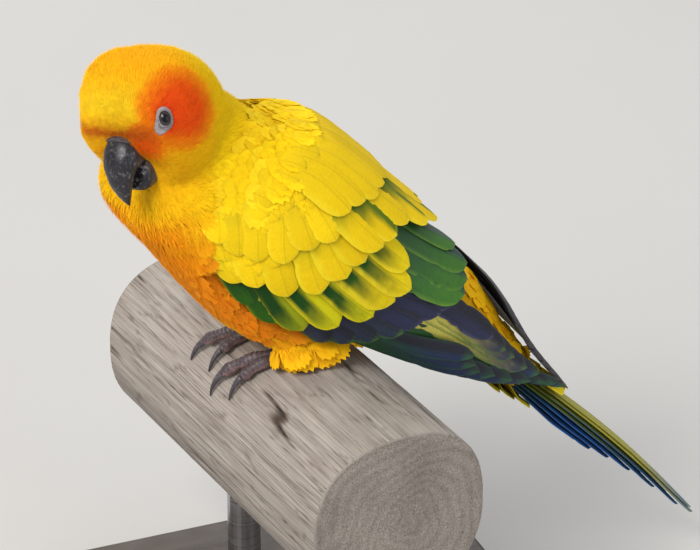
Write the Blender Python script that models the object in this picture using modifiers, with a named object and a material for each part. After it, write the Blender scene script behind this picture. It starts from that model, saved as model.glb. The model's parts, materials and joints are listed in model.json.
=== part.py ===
"""Sun conure, a still life-size model that grips a short cut length of round rail.

The bird leans forward with its head turned to its left. It faces -X, its left is -Y and +Z is up.
Forms are worked out in millimetres in the bird's own frame and turned into metres once, in make_object.
In the side plane the body's long axis q runs from head to tail, and r runs across it to the back.
"""
import math
import random

import bmesh
import bpy
import mathutils
import numpy as np

MM = 0.001
GAP = 0.3
SEED = 11

# Where the bird's own origin stands above the floor, and how far it lies from the rail's middle.
PERCH_X = 6.6
BIRD_LIFT = 98.0

# The body's long axis points this far below the horizontal, towards the tail.
BODY_PITCH = math.radians(55.0)
# Feather layers stay this far off the flesh beneath them.
BED_GAP = 1.2

# Outer form of the plumage: along q, the back's r, the breast's r and half the width.
PLUMAGE = (
    (-100.0, 33.0, 6.0, 12.0),
    (-84.0, 36.8, 1.2, 16.6),
    (-73.0, 39.6, -4.4, 19.4),
    (-65.0, 43.4, -5.6, 22.4),
    (-57.0, 50.6, -5.7, 25.5),
    (-46.0, 55.8, -5.8, 28.0),
    (-32.0, 57.6, -5.4, 29.5),
    (-11.0, 60.0, -1.5, 29.5),
    (-5.0, 60.6, 4.0, 29.1),
    (0.0, 61.4, 10.5, 28.5),
    (6.0, 62.4, 17.0, 27.3),
    (15.0, 63.4, 23.5, 25.0),
    (30.0, 62.8, 31.5, 20.5),
    (45.0, 60.8, 38.6, 15.5),
    (60.0, 59.8, 44.8, 11.0),
    (76.0, 58.5, 48.0, 8.5),
    (110.0, 58.0, 50.0, 5.0),
)
# The folded wing follows the plumage, then hangs lower beside the rump.
WING = (
    (-100.0, 33.0, 6.0, 12.0),
    (-84.0, 36.8, 1.2, 16.6),
    (-73.0, 39.6, -4.4, 19.4),
    (-65.0, 43.4, -5.6, 22.4),
    (-57.0, 50.6, -5.7, 25.5),
    (-46.0, 55.8, -5.8, 28.0),
    (-32.0, 57.6, -5.4, 29.5),
    (-11.0, 60.0, -2.2, 29.5),
    (0.0, 62.0, 1.5, 28.7),
    (15.0, 65.2, 9.5, 26.4),
    (30.0, 65.0, 19.0, 22.5),
    (45.0, 63.2, 29.5, 18.5),
    (55.0, 62.0, 37.7, 16.0),
    (64.0, 61.5, 47.0, 13.5),
    (76.0, 61.5, 55.0, 10.5),
    (110.0, 61.5, 56.0, 7.0),
)
ROUNDNESS = 2.3
# Rings of the flesh lie closer together where it starts, over the shoulders.
RING_EASE = 1.2

# Depth of the folded wing over the flesh, by the angle from the back's middle.
WING_BED = ((0.0, 3.6), (14.0, 6.2), (30.0, 8.6), (55.0, 10.8), (133.0, 10.8), (143.0, 1.6), (151.0, 0.0),
            (180.0, 0.0))
WING_BED_ALONG = ((-72.5, 0.0), (-70.0, 0.1), (-66.5, 1.0), (22.0, 1.0), (40.0, 0.8), (57.0, 0.35),
                  (70.0, 0.3))

NECK_FRONT = -72.0
NECK_BACK = -62.0
NAPE_INSIDE = -84.0
# The throat draws in under the turned bill: place along, angle, depth and the two spreads.
THROAT_HOLLOW = (-76.0, 158.0, 5.0, 6.5, 27.0)
# On the far side of the bill the throat's plumage bulges instead.
THROAT_SWELL = (-70.0, 203.0, -3.4, 9.0, 21.0)
TORSO_END = 57.0

# Head: a ball of plumage with its own forward, left and up directions.
HEAD_CENTRE = np.array((-33.0, -3.4, 80.2))
HEAD_RADII = (21.4, 19.6, 21.0)
HEAD_YAW = math.radians(32.0)
HEAD_ROLL = math.radians(12.0)
# The face draws in round the bill and the crown's sides are full: direction, depth and spread.
FACE_FORMS = (
    ((0.83, 0.0, -0.56), 5.2, math.radians(28.0)),
    ((0.998, 0.0, 0.06), 3.1, math.radians(23.0)),
    ((0.15, -0.62, 0.77), -2.9, math.radians(26.0)),
    ((0.15, 0.62, 0.77), -1.6, math.radians(26.0)),
)
EYE_DIRECTION = (0.611, 0.729, 0.309)
EYE_RADIUS = 3.4
EYE_DEPTH = 17.3
EYE_SOCKET_RADIUS = 3.75
# The ring of lids: its two radii as shares of the first, its thickness and its distance from the centre.
LID_RADIUS = 3.25
LID_SHARES = (1.12, 0.92)
LID_THICKNESS = 0.75
LID_DEPTH = 19.6

# Bill profiles in the head's forward and up plane: outer edge, inner edge and half width.
BILL_UPPER = (
    ((12.6, 1.8), (11.8, -8.6), 5.2),
    ((16.6, 0.9), (14.3, -9.0), 5.5),
    ((19.4, -1.9), (15.5, -9.6), 5.2),
    ((20.9, -5.8), (16.0, -10.6), 4.6),
    ((21.1, -10.1), (16.3, -12.2), 3.6),
    ((20.0, -14.0), (16.5, -14.3), 2.4),
    ((18.6, -16.5), (16.7, -16.1), 1.3),
    ((17.4, -18.1), (16.9, -17.7), 0.4),
)
BILL_LOWER = (
    ((9.6, -15.0), (10.0, -9.2), 5.3),
    ((12.2, -15.3), (12.3, -9.6), 5.1),
    ((13.9, -14.9), (13.6, -10.6), 4.2),
    ((14.8, -14.2), (14.5, -11.9), 2.8),
    ((15.2, -13.8), (15.0, -12.8), 1.0),
)
CERE_PLACE = (16.4, 0.0, 1.2)
CERE_RADII = (2.2, 4.6, 1.6)
NOSTRIL_PLACE = (17.6, 2.2, 2.1)
NOSTRIL_RADIUS = 0.65

# Rail and stand.
RAIL_HALF_WIDTH = 27.0
RAIL_HALF_HEIGHT = 26.0
RAIL_ROUNDNESS = 2.4
RAIL_TOP = 2.0
RAIL_HALF_LENGTH = 64.0
RAIL_TURN = math.radians(7.2)
BASE_SIZE = (130.0, 100.0, 12.0)
BASE_BEVEL = 1.5
ROD_RADIUS = 5.0
ROD_SPACING = 60.0

# Tail: its root in the side plane, its slope and its twelve feathers.
TAIL_ROOT = (74.6, -17.6)
TAIL_PITCH = math.radians(46.4)
TAIL_PAIRS = 6
TAIL_LENGTH = 91.0
TAIL_SHORTENING = (0.0, 9.0, 21.0, 33.0, 43.0, 51.0)
TAIL_LEVEL = 1.2
TAIL_ARCH = 2.6
COVERT_START = 1.2
# Coverts over and under the tail: the middle one's length and how much shorter its neighbours are, step
# aside and half width, lift, how much lower the neighbours are, droop, then the core they join.
TAIL_COVERTS = (
    ("tail_coverts_upper", (24.0, 4.0), (3.4, 4.4), (2.6, 0.4, 0.1), ((7.6, 1.3), 2.5)),
    ("tail_coverts_under", (18.0, 3.0), (3.2, 4.0), (-9.2, 0.0, -0.1), ((7.0, 1.2), -7.2)),
)

# Feet: the ball of each foot in plan, then toes as direction in degrees from -X, length and radius.
FOOT_LEFT = (0.5, -10.5)
FOOT_RIGHT = (0.0, 6.5)
TOES_LEFT = ((-26.0, 17.0, 1.9), (-2.0, 12.0, 1.7), (168.0, 15.0, 1.8), (205.0, 11.0, 1.6))
TOES_RIGHT = ((-24.0, 15.5, 1.9), (6.0, 12.0, 1.7), (160.0, 15.0, 1.8), (197.0, 11.0, 1.6))
CLAW_LENGTH = 7.0
TOE_SWELL = 0.12
SHANK_RADIUS = 2.2
THIGH_PLACE = (7.0, 14.5, 8.2)
THIGH_RADII = (11.0, 5.6, 3.8)

# Tips of the primaries, longest first; the right wing is held higher over the rump.
PRIMARY_TIPS_LEFT = ((73.0, 72.0), (65.0, 88.0), (54.0, 96.0), (42.0, 98.0), (35.0, 90.0))
PRIMARY_TIPS_RIGHT = ((79.0, 42.0), (70.0, 54.0), (59.0, 66.0), (47.0, 76.0), (38.0, 80.0))
# The primaries' middles bend towards the flank by this much.
PRIMARY_BOW_LEFT = 7.0
PRIMARY_BOW_RIGHT = 4.0

# The mantle's pad reaches this many degrees from the back's middle and falls by this much at its edges.
MANTLE_EDGE = 53.0
MANTLE_FALL = 1.1

VANE_THICKNESS = 0.6
# A feather's sideways bend lies past its middle.
BOW_EASE = 1.6
VANE_ROWS = ((0.0, 0.5), (0.45, 1.0), (0.83, 0.86), (1.0, 0.3))
LONG_VANE_ROWS = ((0.0, 0.42), (0.18, 0.75), (0.4, 0.95), (0.65, 1.0), (0.88, 0.75), (1.0, 0.22))
TAIL_ROWS = ((0.0, 0.6), (0.5, 1.0), (0.88, 0.75), (1.0, 0.24))
SMALL_VANE_ROWS = ((0.0, 0.5), (0.45, 0.95), (0.8, 0.9), (1.0, 0.35))


def smooth_table(table, at, column):
    """Value of one column of a table at a place, eased between its rows without overshoot."""
    places = [row[0] for row in table]
    values = [row[column] for row in table]
    if at <= places[0]:
        return values[0]
    if at >= places[-1]:
        return values[-1]
    k = max(i for i, place in enumerate(places) if place <= at)
    slopes = [(values[i + 1] - values[i]) / (places[i + 1] - places[i]) for i in range(len(places) - 1)]

    def tangent(i):
        if i == 0 or i == len(places) - 1:
            return slopes[min(i, len(slopes) - 1)]
        before, after = slopes[i - 1], slopes[i]
        return 0.0 if before * after <= 0 else 2.0 * before * after / (before + after)

    span = places[k + 1] - places[k]
    t = (at - places[k]) / span
    return (values[k] * (1 + 2 * t) * (1 - t) ** 2 + tangent(k) * span * t * (1 - t) ** 2
            + values[k + 1] * t * t * (3 - 2 * t) + tangent(k + 1) * span * t * t * (t - 1))


def side_point(q, r, y=0.0):
    """Point of the bird from its place along the body, across it and to its right."""
    return np.array((q * math.cos(BODY_PITCH) + r * math.sin(BODY_PITCH), y,
                     -q * math.sin(BODY_PITCH) + r * math.cos(BODY_PITCH)))


def signed_power(value, power):
    """Power of a number that keeps its sign."""
    return math.copysign(abs(value) ** power, value)


def form_raw(form, q, angle):
    """Point on a form at an angle in degrees from the back, round by the bird's left."""
    top = smooth_table(form, q, 1)
    bottom = smooth_table(form, q, 2)
    half = smooth_table(form, q, 3)
    turn = math.radians(angle)
    across = (top + bottom) / 2 + (top - bottom) / 2 * signed_power(math.cos(turn), 2 / ROUNDNESS)
    return side_point(q, across, -half * signed_power(math.sin(turn), 2 / ROUNDNESS))


def form_frame(form, q, angle):
    """Point, steps along q and angle, and outward normal of a form."""
    point = form_raw(form, q, angle)
    along = form_raw(form, q + 0.5, angle) - form_raw(form, q - 0.5, angle)
    around = (form_raw(form, q, angle + 1.0) - form_raw(form, q, angle - 1.0)) / 2
    normal = np.cross(around, along)
    return point, along, around, normal / np.linalg.norm(normal)


def form_point(form, q, angle, lift=0.0):
    """Point above a form by lift, along its normal."""
    point, _, _, normal = form_frame(form, q, angle)
    return point + normal * lift


def close_loft(rings):
    """Closed mesh through rings of points, with a fan on each end."""
    sides = len(rings[0])
    points = [point for ring in rings for point in ring]
    faces = []
    for i in range(len(rings) - 1):
        for j in range(sides):
            a, b = i * sides + j, i * sides + (j + 1) % sides
            faces.append((a, b, b + sides, a + sides))
    for ring, order in ((0, -1), (len(rings) - 1, 1)):
        centre = len(points)
        points.append(np.mean(rings[ring], axis=0))
        for j in range(sides):
            edge = (ring * sides + j, ring * sides + (j + 1) % sides)
            faces.append((edge[0], edge[1], centre)[::order])
    return points, faces


def close_plate(outer, inner):
    """Closed mesh of two like grids of points, split into the same triangles on both faces."""
    rows, columns = len(outer), len(outer[0])
    points = [point for row in outer for point in row] + [point for row in inner for point in row]
    shift = rows * columns
    faces = []
    for i in range(rows - 1):
        for j in range(columns - 1):
            a = i * columns + j
            square = (a, a + 1, a + columns + 1, a + columns)
            halves = ((square[0], square[1], square[2]), (square[0], square[2], square[3]))
            if (i + j) % 2:
                halves = ((square[0], square[1], square[3]), (square[1], square[2], square[3]))
            for half in halves:
                faces.append(half)
                faces.append(tuple(k + shift for k in half[::-1]))
    rim = [j for j in range(columns)]
    rim += [i * columns + columns - 1 for i in range(1, rows)]
    rim += [(rows - 1) * columns + j for j in range(columns - 2, -1, -1)]
    rim += [i * columns for i in range(rows - 2, 0, -1)]
    for a, b in zip(rim, rim[1:] + rim[:1]):
        faces.append((b, a, a + shift))
        faces.append((b, a + shift, b + shift))
    return points, faces


def patch(form, q_span, angle_span, lifts, steps):
    """Closed plate that follows a form between two lifts, each a number or a function of q and angle."""
    low, high = (lift if callable(lift) else (lambda q, angle, value=lift: value) for lift in lifts)
    outer, inner = [], []
    for q in np.linspace(*q_span, steps[0] + 1):
        angles = np.linspace(*angle_span, steps[1] + 1)
        outer.append([form_point(form, q, angle, high(q, angle)) for angle in angles])
        inner.append([form_point(form, q, angle, low(q, angle)) for angle in angles])
    return close_plate(outer, inner)


def vane(form, root, tip, width, lifts, rise=0.0, bow=0.0, rows=VANE_ROWS, camber=0.35, ease=1.0):
    """One feather on a form, from root to tip, each a place along q and an angle.

    Its edge away from the back stands higher by rise, and its middle bends sideways by bow.
    With ease above 1 its lift changes mostly towards the tip.
    """
    outer, inner = [], []
    for u, share in rows:
        q = root[0] + (tip[0] - root[0]) * u
        angle = root[1] + (tip[1] - root[1]) * u
        _, along, around, normal = form_frame(form, q, angle)
        run = along * (tip[0] - root[0]) + around * (tip[1] - root[1])
        sideways = np.cross(run, normal)
        sideways /= np.linalg.norm(sideways)
        if np.dot(sideways, around) < 0:
            sideways = -sideways
        step, _, _, _ = np.linalg.lstsq(np.stack((along, around), axis=1), sideways, rcond=None)
        lift = lifts[0] + (lifts[1] - lifts[0]) * u ** ease
        thick = VANE_THICKNESS if u < 0.8 else VANE_THICKNESS * 0.85
        upper, lower = [], []
        for v in (-1.0, 0.0, 1.0):
            shift = v * width / 2 * share + bow * math.sin(math.pi * u ** BOW_EASE)
            height = lift + rise * v / 2 * share + camber * (1 - abs(v))
            place = (q + step[0] * shift, angle + step[1] * shift)
            upper.append(form_point(form, place[0], place[1], height + thick / 2))
            lower.append(form_point(form, place[0], place[1], height - thick / 2))
        outer.append(upper)
        inner.append(lower)
    return close_plate(outer, inner)


def tier(form, count, roots, tips, width, lifts, **options):
    """A row of feathers whose roots and tips follow two routes of places on a form."""
    made = []
    for i in range(count):
        share = i / (count - 1)
        route = np.linspace(0.0, 1.0, len(tips))
        base = np.linspace(0.0, 1.0, len(roots))
        root = tuple(float(np.interp(share, base, [place[k] for place in roots])) for k in (0, 1))
        tip = tuple(float(np.interp(share, route, [place[k] for place in tips])) for k in (0, 1))
        tip = (tip[0] + random.uniform(-0.8, 0.8), tip[1] + random.uniform(-0.8, 0.8))
        wide = width if isinstance(width, float) else width[0] + (width[1] - width[0]) * share
        made.append(vane(form, root, tip, wide, lifts, **options))
    return made


def mirrored(meshes):
    """The same meshes on the bird's other side."""
    flipped = []
    for points, faces in meshes:
        turned = [point * np.array((1.0, -1.0, 1.0)) for point in points]
        flipped.append((turned, [face[::-1] for face in faces]))
    return flipped


def make_mesh(name, shape):
    """Blender mesh in metres, in the model's frame, with every face pointing outwards."""
    points, faces = shape
    world = [((p[0] - PERCH_X) * MM, p[1] * MM, (p[2] + BIRD_LIFT) * MM) for p in points]
    mesh = bpy.data.meshes.new(name)
    mesh.from_pydata(world, [], [tuple(int(k) for k in face) for face in faces])
    shell = bmesh.new()
    shell.from_mesh(mesh)
    bmesh.ops.recalc_face_normals(shell, faces=shell.faces)
    shell.to_mesh(mesh)
    shell.free()
    return mesh


def make_object(name, shape, material, collection):
    """Named object with one material."""
    made = bpy.data.objects.new(name, make_mesh(name, shape))
    made.data.materials.append(material)
    collection.objects.link(made)
    return made


def make_material(name, colour, roughness, metallic=0.0):
    """Principled material of one colour."""
    material = bpy.data.materials.new(name)
    material.use_nodes = True
    shader = material.node_tree.nodes["Principled BSDF"]
    shader.inputs["Base Color"].default_value = (*colour, 1.0)
    shader.inputs["Roughness"].default_value = roughness
    shader.inputs["Metallic"].default_value = metallic
    return material


def apply_modifiers(item):
    """Put the evaluated mesh in the place of an object's own and drop its modifiers."""
    graph = bpy.context.evaluated_depsgraph_get()
    result = bpy.data.meshes.new_from_object(item.evaluated_get(graph))
    old = item.data
    item.modifiers.clear()
    item.data = result
    bpy.data.meshes.remove(old)


def keep_largest(item):
    """Leave an object only its largest closed surface."""
    shell = bmesh.new()
    shell.from_mesh(item.data)
    unseen = set(shell.verts)
    groups = []
    while unseen:
        front = [unseen.pop()]
        group = set(front)
        while front:
            for edge in front.pop().link_edges:
                for vert in edge.verts:
                    if vert in unseen:
                        unseen.discard(vert)
                        group.add(vert)
                        front.append(vert)
        groups.append(group)
    groups.sort(key=len)
    extra = [vert for group in groups[:-1] for vert in group]
    if extra:
        bmesh.ops.delete(shell, geom=extra, context="VERTS")
    shell.to_mesh(item.data)
    shell.free()


def boolean(item, shapes, operation, solver="EXACT"):
    """Join shapes to an object or cut them from it, in one step on a collection."""
    tools = bpy.data.collections.new("operands")
    bpy.context.scene.collection.children.link(tools)
    for i, shape in enumerate(shapes):
        tool = bpy.data.objects.new(f"operand_{i}", make_mesh(f"operand_{i}", shape))
        tool.hide_render = True
        tools.objects.link(tool)
    step = item.modifiers.new("join", "BOOLEAN")
    step.operation = operation
    step.operand_type = "COLLECTION"
    step.collection = tools
    step.solver = solver
    apply_modifiers(item)
    for tool in list(tools.objects):
        bpy.data.objects.remove(tool)
    bpy.data.collections.remove(tools)
    keep_largest(item)


def fused(name, shapes, material, collection):
    """One object from overlapping closed shapes."""
    item = make_object(name, shapes[0], material, collection)
    boolean(item, shapes[1:], "UNION")
    return item


def bed_depth(q, angle):
    """How far the flesh lies under the plumage's outer form."""
    folded = abs((angle + 180.0) % 360.0 - 180.0)
    return smooth_table(WING_BED, folded, 1) * smooth_table(WING_BED_ALONG, q, 1)


def throat_depth(q, angle):
    """How far the throat draws in under the bill, or bulges beside it where this is below zero."""
    total = 0.0
    for place, side, depth, spread, width in (THROAT_HOLLOW, THROAT_SWELL):
        total += depth * math.exp(-((q - place) / spread) ** 2 - ((angle - side) / width) ** 2)
    return total


def trunk_rings(q_start, q_end, count, sides, lift=0.0):
    """Rings of the flesh between two places along the body."""
    axis = side_point(1.0, 0.0)
    rings = []
    for share in np.linspace(0.0, 1.0, count):
        q = q_start + (q_end - q_start) * share ** RING_EASE
        angles = [360.0 * j / sides for j in range(sides)]
        ring = []
        for angle in angles:
            point, _, _, normal = form_frame(PLUMAGE, q, angle)
            level = normal - axis * float(np.dot(normal, axis))
            ring.append(point + normal * (lift - bed_depth(q, angle)) - level * throat_depth(q, angle))
        rings.append(ring)
    return rings


def head_point(forward, left, up):
    """Point of the head from its own forward, left and up distances."""
    ahead = np.array((-math.cos(HEAD_YAW), -math.sin(HEAD_YAW), 0.0))
    level = np.array((math.sin(HEAD_YAW), -math.cos(HEAD_YAW), 0.0))
    side = level * math.cos(HEAD_ROLL) + np.array((0.0, 0.0, math.sin(HEAD_ROLL)))
    crown = np.array((0.0, 0.0, math.cos(HEAD_ROLL))) - level * math.sin(HEAD_ROLL)
    return HEAD_CENTRE + ahead * forward + side * left + crown * up


def face_depth(direction):
    """How far the head draws in from a plain ball in one direction, or swells where this is below zero."""
    length = math.sqrt(sum(k * k for k in direction))
    total = 0.0
    for middle, depth, spread in FACE_FORMS:
        cosine = sum(a * b for a, b in zip(direction, middle)) / length
        total += depth * math.exp(-(math.acos(max(-1.0, min(1.0, cosine))) / spread) ** 2)
    return total


def head_shape(sides, rings):
    """The head's plumage as a ball that draws in round the bill."""
    points, faces = ball((0.0, 0.0, 0.0), HEAD_RADII, sides, rings)
    shaped = []
    for point in points:
        offset = point - HEAD_CENTRE
        direction = [float(np.dot(offset, head_point(*axis) - HEAD_CENTRE)) for axis in np.eye(3)]
        shaped.append(HEAD_CENTRE + offset * (1 - face_depth(direction) / np.linalg.norm(offset)))
    return shaped, faces


def ball(place, radii, sides=24, rings=14):
    """Ball of the head's frame with its poles to the left and right."""
    loops = []
    for i in range(1, rings):
        tilt = math.pi * i / rings
        loop = []
        for j in range(sides):
            turn = 2 * math.pi * j / sides
            loop.append(head_point(place[0] + radii[0] * math.sin(tilt) * math.cos(turn),
                                   place[1] + radii[1] * math.cos(tilt),
                                   place[2] + radii[2] * math.sin(tilt) * math.sin(turn)))
        loops.append(loop)
    points, faces = close_loft(loops)
    points[-2] = head_point(place[0], place[1] + radii[1], place[2])
    points[-1] = head_point(place[0], place[1] - radii[1], place[2])
    return points, faces


def lid_ring(side):
    """Bare ring of lids round one eye."""
    out = np.array((EYE_DIRECTION[0], EYE_DIRECTION[1] * side, EYE_DIRECTION[2]))
    first = np.cross(out, (0.0, 0.0, 1.0))
    first /= np.linalg.norm(first)
    second = np.cross(out, first)
    turns, sides = 16, 6
    points, faces = [], []
    for i in range(turns):
        turn = 2 * math.pi * i / turns
        spoke = first * math.cos(turn) * LID_SHARES[0] + second * math.sin(turn) * LID_SHARES[1]
        for j in range(sides):
            roll = 2 * math.pi * j / sides
            height = LID_DEPTH + LID_THICKNESS * math.sin(roll)
            reach = LID_RADIUS + LID_THICKNESS * math.cos(roll)
            points.append(head_point(*(out * height + spoke * reach)))
            a, b = i * sides + j, i * sides + (j + 1) % sides
            faces.append((a, b, (b + sides) % (turns * sides), (a + sides) % (turns * sides)))
    return points, faces


def bill_shape(profile, grow=0.0, sides=16):
    """Half of the bill as a loft between its outer and inner edges."""
    rings = []
    for outer, inner, half in profile:
        outer, inner = np.array(outer), np.array(inner)
        middle, reach = (outer + inner) / 2, (outer - inner) / 2
        depth = np.linalg.norm(reach)
        reach = reach * (depth + grow) / depth
        ring = []
        for j in range(sides):
            turn = 2 * math.pi * j / sides
            place = middle + reach * math.cos(turn)
            if grow and not rings:
                place = place - np.array((2 * grow, 0.0))
            ring.append(head_point(place[0], (half + grow) * math.sin(turn), place[1]))
        rings.append(ring)
    return close_loft(rings)


def rail_top(x, y):
    """Height of the rail's upper surface at a place in plan."""
    across = x - PERCH_X + math.tan(RAIL_TURN) * y
    share = min(abs(across) / RAIL_HALF_WIDTH, 0.999)
    rise = RAIL_HALF_HEIGHT * (1 - share ** RAIL_ROUNDNESS) ** (1 / RAIL_ROUNDNESS)
    return RAIL_TOP - RAIL_HALF_HEIGHT + rise


def limb(centres, radii, sides=8):
    """Closed tube of rings round a route of points."""
    rings = []
    for i, centre in enumerate(centres):
        ahead = centres[min(i + 1, len(centres) - 1)] - centres[max(i - 1, 0)]
        ahead = ahead / np.linalg.norm(ahead)
        first = np.cross(ahead, (0.0, 1.0, 0.13))
        first /= np.linalg.norm(first)
        second = np.cross(ahead, first)
        ring = []
        for j in range(sides):
            turn = 2 * math.pi * j / sides
            ring.append(centre + (first * math.cos(turn) + second * math.sin(turn)) * radii[i])
        rings.append(ring)
    return close_loft(rings)


def toe_route(foot, direction, length, radius, steps=6):
    """Centres of a toe that lies on the rail, and the heading at its end."""
    heading = math.radians(direction)
    centres = []
    place = np.array((foot[0], foot[1]))
    step = length / steps
    for _ in range(steps + 1):
        height = rail_top(place[0], place[1])
        ahead = rail_top(place[0] - math.cos(heading) * 0.5, place[1] - math.sin(heading) * 0.5)
        behind = rail_top(place[0] + math.cos(heading) * 0.5, place[1] + math.sin(heading) * 0.5)
        slope = ahead - behind
        run = 1 / math.hypot(1.0, slope)
        lean = np.array((math.cos(heading) * slope * run, math.sin(heading) * slope * run, run))
        centres.append(np.array((place[0], place[1], height)) + lean * (radius * 1.12 + GAP + 0.15))
        place = place - np.array((math.cos(heading), math.sin(heading))) * step * run
    return centres


def foot_shapes(foot, toes, heel, grow=0.0):
    """Shank and toes of one foot, and the claws apart."""
    shapes, claws = [], []
    ball_centre = np.array((foot[0], foot[1], rail_top(*foot) + 2.9))
    heel = heel + (heel - ball_centre) * grow * 0.2
    shank = [ball_centre, (heel + ball_centre) / 2, heel]
    shapes.append(limb(shank, [SHANK_RADIUS * k + grow for k in (1.0, 0.9, 0.95)]))
    for direction, length, radius in toes:
        centres = toe_route(foot, direction, length, radius)
        swell = [radius * (1.0 + TOE_SWELL * math.cos(2.3 * k)) * (1 - 0.02 * k) + grow
                 for k in range(len(centres))]
        swell[-1] -= radius * 0.28
        shapes.append(limb(centres, swell))
        ahead = centres[-1] - centres[-2]
        ahead /= np.linalg.norm(ahead)
        start = centres[-1] + ahead * GAP
        claw = []
        for k in range(5):
            bend = math.radians(-8.0 + 21.0 * k)
            if k:
                down = np.array((0.0, 0.0, -1.0))
                start = start + (ahead * math.cos(bend) + down * math.sin(bend)) * CLAW_LENGTH / 4
            claw.append(start.copy())
        lift = [max(0.0, rail_top(p[0], p[1]) + 1.7 - 0.2 * k - p[2]) for k, p in enumerate(claw)]
        claw = [p + np.array((0.0, 0.0, lift[k])) for k, p in enumerate(claw)]
        claws.append(limb(claw, [radius * 0.6 * (1 - 0.21 * k) for k in range(5)], sides=6))
    return shapes, claws


def build_trunk(materials, collection):
    """Neck and torso, with the wings' bed in its sides."""
    neck = close_loft(trunk_rings(NECK_FRONT + GAP, NECK_BACK, 6, 32))
    make_object("neck", neck, materials["yellow"], collection)
    torso = close_loft(trunk_rings(NECK_BACK + GAP, TORSO_END, 20, 32))
    make_object("torso", torso, materials["orange"], collection)


def build_head(materials, collection):
    """Head with cere, nostrils, lids and sockets, the two halves of the bill and the eyes."""
    head = make_object("head", head_shape(24, 15), materials["head"], collection)
    throat = close_loft(trunk_rings(NAPE_INSIDE, NECK_FRONT + 2.0, 5, 32))
    boolean(head, [throat], "UNION")
    cut = side_point(NECK_FRONT, 0.0) - np.array((PERCH_X, 0.0, -BIRD_LIFT))
    shell = bmesh.new()
    shell.from_mesh(head.data)
    geometry = list(shell.verts) + list(shell.edges) + list(shell.faces)
    along = side_point(1.0, 0.0)
    split = bmesh.ops.bisect_plane(shell, geom=geometry, plane_co=cut * MM, plane_no=along, clear_outer=True)
    rim = [item for item in split["geom_cut"] if isinstance(item, bmesh.types.BMEdge)]
    bmesh.ops.holes_fill(shell, edges=rim, sides=0)
    shell.to_mesh(head.data)
    shell.free()
    boolean(head, [ball(CERE_PLACE, CERE_RADII, 16, 8)] + [lid_ring(side) for side in (1, -1)], "UNION")
    cutters = [bill_shape(BILL_UPPER, GAP), bill_shape(BILL_LOWER, GAP)]
    for side in (1, -1):
        direction = (EYE_DIRECTION[0], EYE_DIRECTION[1] * side, EYE_DIRECTION[2])
        place = [EYE_DEPTH * k for k in direction]
        cutters.append(ball(place, [EYE_SOCKET_RADIUS] * 3, 14, 8))
        nostril = (NOSTRIL_PLACE[0], NOSTRIL_PLACE[1] * side, NOSTRIL_PLACE[2])
        cutters.append(ball(nostril, [NOSTRIL_RADIUS] * 3, 8, 6))
        name = "eye_left" if side == 1 else "eye_right"
        make_object(name, ball(place, [EYE_RADIUS] * 3, 14, 8), materials["eye"], collection)
    boolean(head, cutters, "DIFFERENCE")
    make_object("bill_upper", bill_shape(BILL_UPPER), materials["bill"], collection)
    make_object("bill_lower", bill_shape(BILL_LOWER), materials["bill"], collection)


def wing_parts(primary_tips, bow):
    """Coverts, secondaries and primaries of a left wing, each a list of shapes; the primaries bend by bow."""
    bed = (lambda q, a: BED_GAP - bed_depth(q, a), -1.9)
    coverts = [patch(WING, (-68.4, -45.0), (60.0, 128.0), bed, (6, 6))]
    coverts += tier(WING, 6, [(-47.0, 122.0), (-46.5, 68.0)], [(-13.5, 130.0), (-8.0, 108.0), (-2.0, 78.0)],
                    11.5, (-3.6, -3.2), rise=1.6)
    coverts += tier(WING, 6, [(-49.0, 120.0), (-48.5, 69.0)], [(-35.0, 126.0), (-27.0, 106.0), (-20.0, 76.0)],
                    11.5, (-2.3, -1.3), rise=1.0, rows=SMALL_VANE_ROWS)
    secondaries = [patch(WING, (-44.0, -37.0), (46.0, 116.0), (-7.4, -5.2), (2, 6))]
    secondaries += tier(WING, 7, [(-40.0, 112.0), (-40.0, 50.0)],
                        [(3.0, 118.0), (10.0, 96.0), (14.0, 72.0), (16.0, 44.0), (19.0, 24.0)],
                        13.6, (-6.4, -2.4), rise=1.4, ease=2.2)
    primaries = [patch(WING, (-44.0, -37.0), (98.0, 124.0), (-9.9, -7.8), (2, 3))]
    primaries += tier(WING, 6, [(-41.0, 119.0), (-41.0, 102.0)], primary_tips,
                      10.6, (-8.8, -1.1), rise=0.7, bow=bow, ease=3.5, rows=LONG_VANE_ROWS)
    return {"coverts": coverts, "secondaries": secondaries, "primaries": primaries}


def build_wings(materials, collection):
    """Both folded wings in three layers, and the mantle with the scapulars over their upper edges."""
    for layer, shapes in wing_parts(PRIMARY_TIPS_LEFT, PRIMARY_BOW_LEFT).items():
        fused(f"wing_left_{layer}", shapes, materials[layer], collection)
    for layer, shapes in wing_parts(PRIMARY_TIPS_RIGHT, PRIMARY_BOW_RIGHT).items():
        fused(f"wing_right_{layer}", mirrored(shapes), materials[layer], collection)
    left = tier(WING, 3, [(-48.0, 42.0), (-48.0, 12.0)], [(-24.0, 58.0), (-30.0, 36.0), (-32.0, 14.0)],
                15.5, (-0.6, 0.9), rise=0.7, rows=SMALL_VANE_ROWS)
    left += tier(WING, 4, [(-48.0, 48.0), (-47.0, 12.0)], [(-2.0, 70.0), (-7.0, 48.0), (-1.0, 14.0)],
                 13.5, (-1.6, 0.3), rise=0.9)
    bed = (lambda q, a: BED_GAP - bed_depth(q, a),
           lambda q, a: -0.3 - MANTLE_FALL * (abs(a) / MANTLE_EDGE) ** 4)
    pad = patch(WING, (-68.4, -46.0), (-MANTLE_EDGE, MANTLE_EDGE), bed, (6, 10))
    middle = [vane(WING, (-48.0, 0.0), (-27.0, 0.0), 12.0, (-0.6, 1.1), rows=SMALL_VANE_ROWS),
              vane(WING, (-48.0, 0.0), (-9.0, 0.0), 12.0, (-1.6, 0.5))]
    fused("mantle", [pad] + middle + left + mirrored(left), materials["yellow"], collection)


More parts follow.
